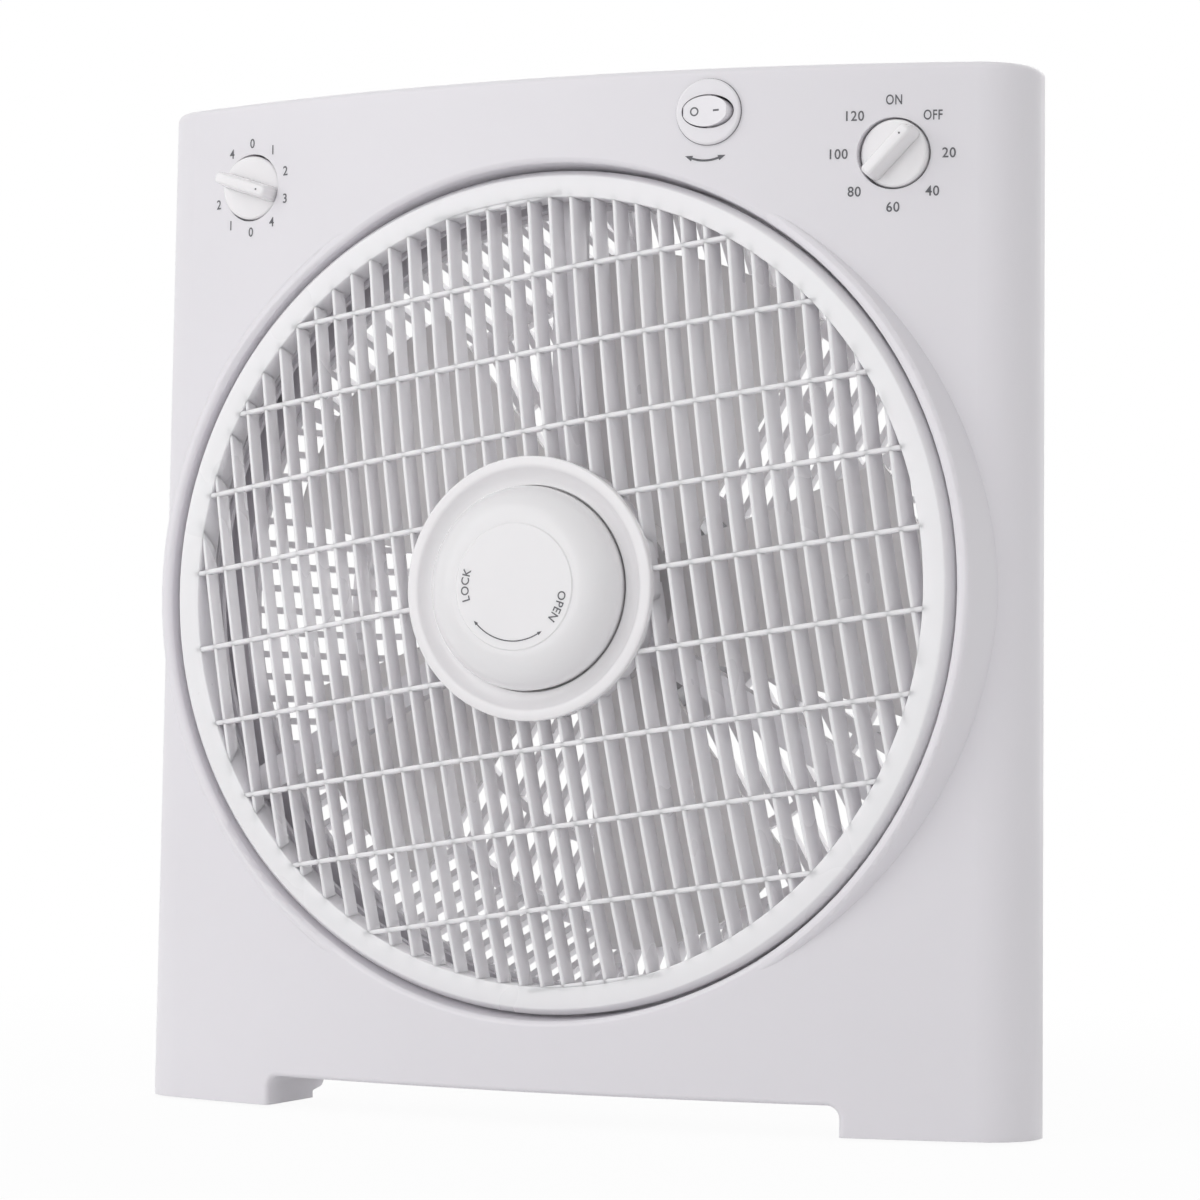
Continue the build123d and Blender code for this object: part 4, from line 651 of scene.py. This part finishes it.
class FAN_OT_louvre(FanPiece, bpy.types.Operator):
    """Build the domed louvre: rim, slats that fan out, cross bars and hub."""

    bl_idname = "fan.louvre"
    bl_label = "Louvre"

    def execute(self, context):
        size = context.scene.fan_louvre
        meshes = self.slats(size) + self.cross_bars(size)
        turn = Matrix.Rotation(-size.turn, 4, "Y")
        for bm in meshes:
            bmesh.ops.transform(bm, matrix=turn, verts=bm.verts)
        meshes += [self.rim(size), self.hub(size)]
        for bm in meshes:
            bmesh.ops.translate(bm, vec=(0, 0, AXIS_Z), verts=bm.verts)
        item = add_piece("louvre", meshes, self.grille_white(), "louvre")
        smooth(item, 40)
        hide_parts("louvre_grille")
        return {"FINISHED"}

    def dome(self, size, radius):
        """Depth of the domed front at a radius."""
        rise = size.dome_rise
        ball = (size.rim_in ** 2 + rise ** 2) / (2 * rise)
        crown = size.rim_depth + size.recess - rise
        return crown + ball - math.sqrt(ball ** 2 - min(radius, size.rim_in) ** 2)

    def spans(self, size, off):
        """Runs of a bar at a distance from the axis, between the hub and the rim."""
        far = math.sqrt((size.rim_in + SLAT_SEAT * size.rim_wall) ** 2 - off ** 2)
        if abs(off) >= size.hub:
            return [(-far, far)]
        near = math.sqrt(size.hub ** 2 - off ** 2)
        return [(-far, -near), (near, far)]

    def slats(self, size):
        """Upright slats, each leaning outward a little towards its back."""
        pivot = size.rim_depth - size.dome_rise / 2 + size.slat_deep / 2
        count = int(size.rim_in / size.slat_pitch)
        meshes = []
        for i in range(-count, count):
            x = (i + 0.5) * size.slat_pitch
            for start, end in self.spans(size, x):
                bm = soft_bar(size.slat_thick, size.slat_deep, start, end, BAR_STEP)
                for v in bm.verts:
                    depth = self.dome(size, math.hypot(x + v.co.x, v.co.z)) + v.co.y
                    v.co.x += x + (depth - pivot) * x / size.slat_focus
                    v.co.y = CROWN_Y + depth
                meshes.append(bm)
        return meshes

    def cross_bars(self, size):
        """Level bars that tie the slats together."""
        rows = int(size.rim_in / size.bar_pitch)
        meshes = []
        for j in range(-rows, rows + 1):
            z = j * size.bar_pitch
            for start, end in self.spans(size, z):
                bm = soft_bar(size.bar_wide, size.bar_deep, start, end, BAR_STEP)
                for v in bm.verts:
                    wide, deep, along = v.co
                    depth = self.dome(size, math.hypot(along, z + wide)) - size.bar_lift + deep
                    v.co = Vector((along, CROWN_Y + depth, z + wide))
                meshes.append(bm)
        return meshes

    def rim(self, size):
        """Flat rim with a skirt behind each of its edges."""
        front, inner = size.rim_depth, size.rim_depth + size.rim_wall
        back = front + size.rim_skirt
        slope = front + size.rim_flank
        wall = size.rim_wall
        outline = [(size.rim_out, back), (size.rim_out, slope), (size.rim_face, front), (size.rim_in, front),
                   (size.rim_in, back), (size.rim_in + wall, back), (size.rim_in + wall, inner),
                   (size.rim_face - wall / 2, inner), (size.rim_out - wall, slope + wall / 2),
                   (size.rim_out - wall, back)]
        bm = spun(outline, RIM_STEPS)
        round_ring(bm, size.rim_face, front, size.rim_round)
        round_ring(bm, size.rim_in, front, size.rim_round)
        return bm

    def hub(self, size):
        """Wall and plate of the hub behind the dish."""
        outer, inner = size.hub + size.hub_wall / 2, size.hub - size.hub_wall / 2
        front, plate = self.dome(size, size.hub) - size.bar_lift, -size.hub_plate
        back = plate + size.plate_thick
        bore, boss = size.hub_bore, size.hub_boss
        return spun([(bore, plate), (inner, plate), (inner, front), (outer, front), (outer, back),
                     (boss, back), (boss, size.boss_back), (bore, size.boss_back)], SMALL_STEPS)


class FAN_OT_hub_dish(FanPiece, bpy.types.Operator):
    """Build the hub dish with its flat rim and the ring round the lock knob."""

    bl_idname = "fan.hub_dish"
    bl_label = "Hub dish"

    def execute(self, context):
        size = context.scene.fan_knobs
        rim_in = size.dish - size.dish_rim
        bowl, bore, wall, edge = size.dish_bowl, size.dish_bore, size.dish_wall, size.dish_edge
        floor, ring, front = -size.dish_floor, -size.dish_step, -size.dish_front
        seat = floor - size.seat_lift
        middle = (rim_in - size.hollow_in, ring - size.hollow_lift)
        hollow = bend((bowl, ring), middle, (rim_in + edge, front), 10)
        outline = [(bore, seat), (size.dish_seat, seat), (size.dish_seat, floor), (bowl, floor)]
        outline += hollow + [(size.dish, front), (size.dish, -size.dish_back)]
        outline += [(size.dish_hub, -size.dish_back), (size.dish_hub, ring + wall)]
        outline += [(bowl + wall, ring + wall), (bowl + wall, floor + wall), (bore, floor + wall)]
        bm = spun(outline, ROUND_STEPS)
        round_ring(bm, size.dish, front, edge)
        round_ring(bm, rim_in + edge, front, edge)
        bmesh.ops.translate(bm, vec=(0, 0, AXIS_Z), verts=bm.verts)
        item = add_piece("dish", [bm], self.knob_white(), "louvre")
        smooth(item, 50)
        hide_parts("hub_dish")
        return {"FINISHED"}


class FAN_OT_lock_knob(FanPiece, bpy.types.Operator):
    """Build the large domed lock knob."""

    bl_idname = "fan.lock_knob"
    bl_label = "Lock knob"

    def execute(self, context):
        size = context.scene.fan_knobs
        wall, step = size.lock_wall, size.lock_step
        front, low, end = -size.lock_front, -size.lock_skirt, -size.boss_end
        crown = front + step
        inside = crown + wall
        skirt = size.lock - step
        outline = [(0.0, front), (size.lock_crown - 2 * step, front), (size.lock_crown - step, crown)]
        outline += self.flank(size, 0.0, crown) + [(skirt, low), (skirt - wall, low)]
        outline += self.flank(size, wall, crown)[::-1] + [(size.lock_boss, inside), (size.lock_boss, end)]
        outline += [(size.lock_bore, end), (size.lock_bore, inside), (0.0, inside)]
        bm = spun(outline, ROUND_STEPS)
        if any(e.is_boundary for e in bm.edges):
            raise RuntimeError("The lock knob is not closed")
        bmesh.ops.translate(bm, vec=(0, 0, AXIS_Z), verts=bm.verts)
        item = add_piece("lock_cap", [bm], self.knob_white(), "lock_knob")
        smooth(item, 35)
        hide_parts("lock_knob")
        return {"FINISHED"}

    def flank(self, size, offset, crown):
        """Rounded flank from the flat face to the widest line, drawn in by a wall."""
        edge, top = size.lock - offset, size.lock_crown - offset / 2
        middle = ((edge + top) / 2 + size.lock_bulge,
                  (crown + offset - size.lock_edge) / 2 - size.lock_swell)
        return bend((top, crown + offset), middle, (edge, offset / 2 - size.lock_edge), 20)


class FAN_OT_dials(FanPiece, bpy.types.Operator):
    """Build the two control knobs, a disc with a grip bar."""

    bl_idname = "fan.dials"
    bl_label = "Control knobs"

    def execute(self, context):
        size = context.scene.fan_knobs
        for name, side, turn in (("speed", -1, SPEED_REST), ("timer", 1, TIMER_REST)):
            x = side * self.marks.dial_x
            place = Matrix.Translation((x, 0, DIAL_Z)) @ Matrix.Rotation(math.radians(-turn), 4, "Y")
            face = panel_depth(x) - CROWN_Y - size.dial_sink
            meshes = [self.disc(size, face), self.grip(size, face)]
            for bm in meshes:
                bmesh.ops.transform(bm, matrix=place, verts=bm.verts)
            item = add_piece(name + "_dial", meshes, self.knob_white(), name + "_knob")
            smooth(item, 40)
            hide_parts(name + "_knob")
            # Dark dot of painted shade where the grip bar has a small dimple
            dot = self.pointer_dot(size, face)
            bmesh.ops.transform(dot, matrix=place, verts=dot.verts)
            add_piece(name + "_dot", [dot], self.ink_and_painted_shade(), name + "_knob")
        return {"FINISHED"}

    def pointer_dot(self, size, face):
        """Small dark dot near the pointing end of the grip bar: painted shade standing for a small dimple.
        """
        bm = bmesh.new()
        thick = self.marks.ink_thick
        bmesh.ops.create_cone(bm, cap_ends=True, segments=ARC_STEPS, radius1=size.dot, radius2=size.dot,
                              depth=thick)
        turn = Matrix.Rotation(math.pi / 2, 4, "X")
        place = Matrix.Translation((size.painted_shade_offset, CROWN_Y + face - size.bar_stand - thick / 2, 0))
        bmesh.ops.transform(bm, matrix=place @ turn, verts=bm.verts)
        return bm

    def disc(self, size, face):
        """Disc with a rounded edge and the stem behind it."""
        back = face + size.dial_thick
        bore, stem, end = size.dial_bore, size.stem, back + size.stem_long
        outline = [(bore, face), (size.dial, face), (size.dial, back),
                   (stem, back), (stem, end), (bore, end)]
        bm = spun(outline, SMALL_STEPS)
        round_ring(bm, size.dial, face, size.dial_edge)
        return bm

    def grip(self, size, face):
        """Bar across the disc with soft edges, a little narrower at its top."""
        bm = block((GRIP_SPAN * size.dial, size.bar_stand, size.bar_wide), (0, -size.bar_stand / 2, 0))
        corners = [e for e in bm.edges if abs(e.verts[0].co.y - e.verts[1].co.y) > size.bar_stand / 2]
        round_edges(bm, corners, size.bar_corner, 6)
        top = [e for e in bm.edges if max(v.co.y for v in e.verts) < NEAR - size.bar_stand]
        round_edges(bm, top, size.bar_round, 5)
        for v in bm.verts:
            rise = -v.co.y / size.bar_stand
            v.co.x *= 1 - rise * size.bar_draft / size.dial
            v.co.z *= 1 - rise * 2 * size.bar_draft / size.bar_wide
            v.co.y += CROWN_Y + face
        return bm


class FAN_OT_rocker(FanPiece, bpy.types.Operator):
    """Give the rocker and its bezel their glossy white."""

    bl_idname = "fan.rocker"
    bl_label = "Rocker"

    def execute(self, context):
        tone = tuple(self.finish.rocker)
        give(ROCKER_NODES, finish_material(
            "Rocker white", tone, shade(tone, 0.985), smoothest=0.2, roughest=0.26,
            grain=3600.0, depth=0.000003, spots=30.0, coat=0.2, glow=0.2))
        return {"FINISHED"}


class FAN_OT_blades(FanPiece, bpy.types.Operator):
    """Give the blades and their nut a warmer white."""

    bl_idname = "fan.blades"
    bl_label = "Blades"

    def execute(self, context):
        tone = tuple(self.finish.blade)
        give(BLADE_NODES, finish_material(
            "Blade white", tone, shade(tone, 0.97), smoothest=0.2, roughest=0.28,
            grain=3000.0, depth=0.000004, spots=20.0, glow=0.5))
        return {"FINISHED"}


class FAN_OT_metalwork(FanPiece, bpy.types.Operator):
    """Give the shafts, screws, bushes and motors their metals."""

    bl_idname = "fan.metalwork"
    bl_label = "Metalwork"

    def execute(self, context):
        give(STEEL_NODES, finish_material(
            "Ground steel", (0.55, 0.55, 0.56), (0.45, 0.45, 0.47), smoothest=0.2, roughest=0.34,
            grain=1800.0, depth=0.00001, spots=120.0, metal=1.0))
        give(SCREW_NODES, finish_material(
            "Zinc plate", (0.62, 0.62, 0.60), (0.52, 0.53, 0.55), smoothest=0.25, roughest=0.4,
            grain=2600.0, depth=0.00001, spots=240.0, metal=1.0))
        give(BRASS_NODES, finish_material(
            "Brass", (0.62, 0.46, 0.2), (0.5, 0.36, 0.15), smoothest=0.25, roughest=0.4,
            grain=2000.0, depth=0.00001, spots=160.0, metal=1.0))
        give(MOTOR_NODES, finish_material(
            "Cast alloy", (0.56, 0.56, 0.57), (0.44, 0.44, 0.46), smoothest=0.38, roughest=0.55,
            grain=900.0, depth=0.00004, spots=60.0, metal=1.0))
        give(CORE_NODES, finish_material(
            "Core steel", (0.20, 0.20, 0.21), (0.13, 0.13, 0.14), smoothest=0.4, roughest=0.6,
            grain=1200.0, depth=0.00003, spots=90.0, metal=1.0))
        give(("swing_motor",), finish_material(
            "Grey can", (0.26, 0.26, 0.27), (0.2, 0.2, 0.21), smoothest=0.3, roughest=0.42,
            grain=1500.0, depth=0.00001, spots=50.0))
        give(("motor_windings",), finish_material(
            "Enamelled wire", (0.42, 0.16, 0.06), (0.28, 0.09, 0.03), smoothest=0.25, roughest=0.4,
            grain=900.0, depth=0.0002, spots=300.0, metal=0.6))
        return {"FINISHED"}


class FAN_OT_soft_parts(FanPiece, bpy.types.Operator):
    """Give the pads, the gland and the switch cases their rubber and dark plastic."""

    bl_idname = "fan.soft_parts"
    bl_label = "Pads and cases"

    def execute(self, context):
        tone = tuple(self.finish.rubber)
        give(RUBBER_NODES, finish_material(
            "Grey rubber", tone, shade(tone, 0.8), smoothest=0.6, roughest=0.8,
            grain=1800.0, depth=0.00003, spots=80.0))
        give(CASE_NODES, finish_material(
            "Dark case", (0.03, 0.03, 0.032), (0.045, 0.045, 0.047), smoothest=0.35, roughest=0.5,
            grain=2000.0, depth=0.00002, spots=60.0))
        return {"FINISHED"}


class FAN_OT_dial_marks(FanPiece, bpy.types.Operator):
    """Print the numerals round the speed knob and the marks round the timer knob."""

    bl_idname = "fan.dial_marks"
    bl_label = "Dial marks"

    def execute(self, context):
        thick = self.marks.ink_thick
        rows = (("speed_marks", -self.marks.dial_x, self.marks.speed_ring, SPEED_MARKS),
                ("timer_marks", self.marks.dial_x, self.marks.timer_ring, TIMER_MARKS))
        for name, x, ring, words in rows:
            meshes = []
            for word, angle in words:
                narrow = WORD_NARROW if word.isalpha() else NUMERAL_NARROW
                bm = lettering(word, self.marks.numeral, thick, narrow)
                centre_mesh(bm)
                turn = math.radians(angle)
                onto_panel(bm, x + ring * math.cos(turn), DIAL_Z + ring * math.sin(turn), thick / 2)
                meshes.append(bm)
            add_piece(name, meshes, self.ink_and_painted_shade(), "housing")
        return {"FINISHED"}


class FAN_OT_swing_marks(FanPiece, bpy.types.Operator):
    """Print the swing arrow and the two signs on the rocker, and lay a thin dark ring of painted shadow
    round the rocker's bezel, standing for a narrow gap.
    """

    bl_idname = "fan.swing_marks"
    bl_label = "Swing marks"

    def execute(self, context):
        size, thick = self.marks, self.marks.ink_thick
        arrow = double_arrow(size.swing_ring, size.swing_line, thick, *SWING_ARROW_ENDS, size.swing_head)
        for bm in arrow:
            onto_panel(bm, *SWING_PLACE, thick / 2)
        add_piece("swing_arrow", arrow, self.ink_and_painted_shade(), "housing")
        # Thin dark ring on the panel round the bezel: painted shadow standing for a narrow gap that the
        # solids lack
        painted_shadow_ring = arc_strip(size.painted_shadow_radius, size.painted_shadow_width, thick, 0, 360, SMALL_STEPS)
        onto_panel(painted_shadow_ring, *ROCKER_PLACE, thick / 2)
        add_piece("bezel_painted_shadow", [painted_shadow_ring], self.ink_and_painted_shade(), "housing")
        add_piece("rocker_signs", self.rocker_signs(size, thick), self.ink_and_painted_shade(), "rocker")
        return {"FINISHED"}

    def rocker_signs(self, size, thick):
        """Ring and bar on the hollow face of the rocker, as separate meshes."""
        ring = arc_strip(size.sign_ring, size.sign_line, thick, 0, 360, ARC_STEPS)
        bmesh.ops.translate(ring, vec=(-size.sign_off, 0, 0), verts=ring.verts)
        bar = block((size.sign_long, size.sign_wide, thick), (size.sign_off, 0, 0))
        lean = Matrix.Rotation(math.radians(ROCKER_SLOPE - ROCKER_HALF_SWING), 4, "Z")
        tilt = Matrix.Translation(ROCKER_PIVOT) @ lean
        for bm in (ring, bar):
            for v in bm.verts:
                u, w, out = v.co
                skin = math.sqrt(ROCKER_BOW ** 2 - u * u) - ROCKER_BOW - ROCKER_FACE
                v.co = tilt @ Vector((u, skin - thick / 2 - out, w))
        return [ring, bar]


class FAN_OT_lock_marks(FanPiece, bpy.types.Operator):
    """Print the curved arrow and two plain words on the lock knob."""

    bl_idname = "fan.lock_marks"
    bl_label = "Lock knob marks"

    def execute(self, context):
        size, thick = self.marks, self.marks.ink_thick
        meshes = double_arrow(size.lock_arrow, size.lock_line, thick, *LOCK_ARROW_ENDS, size.lock_head)
        for word, middle in LOCK_WORDS:
            bm = lettering(word, size.lock_word, thick)
            centre_mesh(bm)
            for v in bm.verts:
                turn = math.radians(middle) - v.co.x / size.lock_ring
                radius = size.lock_ring + v.co.y
                v.co = Vector((radius * math.cos(turn), radius * math.sin(turn), v.co.z))
            meshes.append(bm)
        for bm in meshes:
            for v in bm.verts:
                u, w, out = v.co
                v.co = Vector((u, LOCK_FACE_Y - thick / 2 - out, AXIS_Z + w))
        add_piece("lock_knob_marks", meshes, self.ink_and_painted_shade(), "lock_knob")
        return {"FINISHED"}


class FAN_OT_studio(FanPiece, bpy.types.Operator):
    """Set up the floor, the lamps, the room light and the camera."""

    bl_idname = "fan.studio"
    bl_label = "Studio"

    def execute(self, context):
        studio = context.scene.fan_studio
        self.floor(context, studio)
        self.room(context, studio)
        lamps = (("key lamp", studio.key, (-1.4, -2.3, 1.3), 2.4),
                 ("fill lamp", studio.fill, (-0.4, -3.0, 0.1), 2.0),
                 ("back lamp", studio.back, (-0.3, 1.9, 0.8), 2.2))
        for name, power, place, size in lamps:
            data = bpy.data.lights.new(name, "AREA")
            data.energy = power
            data.size = size
            lamp = bpy.data.objects.new(name, data)
            lamp.location = place
            lamp.rotation_euler = (LAMP_AIM - Vector(place)).to_track_quat("-Z", "Y").to_euler()
            context.scene.collection.objects.link(lamp)
        self.camera(context, studio)
        context.scene.view_settings.view_transform = "Standard"
        return {"FINISHED"}

    def floor(self, context, studio):
        """Wide pale floor that stays white to the camera and keeps a soft shadow."""
        bm = bmesh.new()
        bmesh.ops.create_grid(bm, x_segments=1, y_segments=1, size=studio.floor_half)
        mesh = bpy.data.meshes.new("floor")
        bm.to_mesh(mesh)
        bm.free()
        item = bpy.data.objects.new("floor", mesh)
        context.scene.collection.objects.link(item)
        mesh.materials.append(self.floor_material(studio))

    def floor_material(self, studio):
        """Matte white that gives way to plain white away from the fan, where it is seen."""
        material = bpy.data.materials.new("Pale floor")
        material.use_nodes = True
        tree = material.node_tree
        tree.nodes.remove(tree.nodes["Principled BSDF"])
        matte = tree.nodes.new("ShaderNodeBsdfDiffuse")
        place = tree.nodes.new("ShaderNodeTexCoord").outputs["Object"]
        drift = tree.nodes.new("ShaderNodeGroup")
        drift.node_tree = mottle_group()
        drift.inputs["Tone"].default_value = (*studio.floor, 1.0)
        drift.inputs["Second Tone"].default_value = (*shade(studio.floor, 0.99), 1.0)
        drift.inputs["Spots"].default_value = 2.0
        tree.links.new(place, drift.inputs["Vector"])
        tree.links.new(drift.outputs["Colour"], matte.inputs["Color"])
        glow = tree.nodes.new("ShaderNodeEmission")
        seen = self.seen_rays(tree)
        blend = tree.nodes.new("ShaderNodeMixShader")
        far = tree.nodes.new("ShaderNodeVectorMath")
        far.operation = "LENGTH"
        tree.links.new(place, far.inputs[0])
        white = tree.nodes.new("ShaderNodeMapRange")
        white.inputs["From Min"].default_value = studio.floor_near
        white.inputs["From Max"].default_value = studio.floor_far
        white.inputs["To Min"].default_value = studio.floor_white
        tree.links.new(far.outputs["Value"], white.inputs["Value"])
        share = tree.nodes.new("ShaderNodeMath")
        share.operation = "MULTIPLY"
        tree.links.new(seen, share.inputs[0])
        tree.links.new(white.outputs["Result"], share.inputs[1])
        tree.links.new(share.outputs[0], blend.inputs["Fac"])
        tree.links.new(matte.outputs[0], blend.inputs[1])
        tree.links.new(glow.outputs[0], blend.inputs[2])
        tree.links.new(blend.outputs[0], tree.nodes["Material Output"].inputs["Surface"])
        return material

    def room(self, context, studio):
        """Even light from all round, pure white where it is seen."""
        world = bpy.data.worlds.new("Room")
        context.scene.world = world
        world.use_nodes = True
        tree = world.node_tree
        back = tree.nodes["Background"]
        back.inputs["Color"].default_value = (1, 1, 1, 1)
        strength = tree.nodes.new("ShaderNodeMapRange")
        strength.inputs["To Min"].default_value = studio.room
        strength.inputs["To Max"].default_value = 1.0
        tree.links.new(self.seen_rays(tree), strength.inputs["Value"])
        tree.links.new(strength.outputs["Result"], back.inputs["Strength"])

    def seen_rays(self, tree):
        """One for rays from the camera, a reflection or a clear body."""
        path = tree.nodes.new("ShaderNodeLightPath")
        total = path.outputs["Is Camera Ray"]
        for label in ("Is Glossy Ray", "Is Transmission Ray"):
            add = tree.nodes.new("ShaderNodeMath")
            add.operation = "MAXIMUM"
            tree.links.new(total, add.inputs[0])
            tree.links.new(path.outputs[label], add.inputs[1])
            total = add.outputs[0]
        return total

    def camera(self, context, studio):
        """Camera at the front right, a little below the middle and slightly tilted."""
        yaw, pitch, roll = CAMERA_TURN
        ahead = Vector((-math.sin(yaw) * math.cos(pitch), math.cos(yaw) * math.cos(pitch), math.sin(pitch)))
        level = Vector((math.cos(yaw), math.sin(yaw), 0.0))
        rise = level.cross(ahead)
        right = level * math.cos(roll) + rise * math.sin(roll)
        up = rise * math.cos(roll) - level * math.sin(roll)
        data = bpy.data.cameras.new("camera")
        data.lens = studio.lens
        data.sensor_width = 36.0
        data.sensor_fit = "AUTO"
        view = bpy.data.objects.new("camera", data)
        turn = Matrix((right, up, -ahead)).transposed().to_4x4()
        view.matrix_world = Matrix.Translation(CAMERA_PLACE) @ turn
        context.scene.collection.objects.link(view)
        context.scene.camera = view


class FAN_PT_panel(bpy.types.Panel):
    """Lists the steps that dress the fan."""

    bl_idname = "FAN_PT_panel"
    bl_label = "Box Fan"
    bl_space_type = "VIEW_3D"
    bl_region_type = "UI"
    bl_category = "Box Fan"

    def draw(self, context):
        for group in [getattr(context.scene, name) for name, kind in GROUPS]:
            box = self.layout.box()
            for name in group.__annotations__:
                box.prop(group, name)
        for step in STEPS:
            self.layout.operator(step.bl_idname)


GROUPS = (("fan_finish", FanFinish), ("fan_louvre", FanLouvre), ("fan_knobs", FanKnobs),
          ("fan_print", FanPrintAndShade), ("fan_studio", FanStudio))
STEPS = (FAN_OT_cabinet, FAN_OT_grilles, FAN_OT_louvre, FAN_OT_hub_dish, FAN_OT_lock_knob,
         FAN_OT_dials, FAN_OT_rocker, FAN_OT_blades, FAN_OT_metalwork, FAN_OT_soft_parts,
         FAN_OT_dial_marks, FAN_OT_swing_marks, FAN_OT_lock_marks, FAN_OT_studio)


def register():
    """Add the classes and the settings."""
    for name, group in GROUPS:
        bpy.utils.register_class(group)
        setattr(bpy.types.Scene, name, bpy.props.PointerProperty(type=group))
    for step in STEPS:
        bpy.utils.register_class(step)
    bpy.utils.register_class(FAN_PT_panel)


def unregister():
    """Take the classes and the settings away again."""
    bpy.utils.unregister_class(FAN_PT_panel)
    for step in reversed(STEPS):
        bpy.utils.unregister_class(step)
    for name, group in reversed(GROUPS):
        delattr(bpy.types.Scene, name)
        bpy.utils.unregister_class(group)


def main():
    """Dress the fan step by step."""
    register()
    for step in STEPS:
        family, action = step.bl_idname.split(".")
        getattr(getattr(bpy.ops, family), action)()


if __name__ == "__main__":
    main()
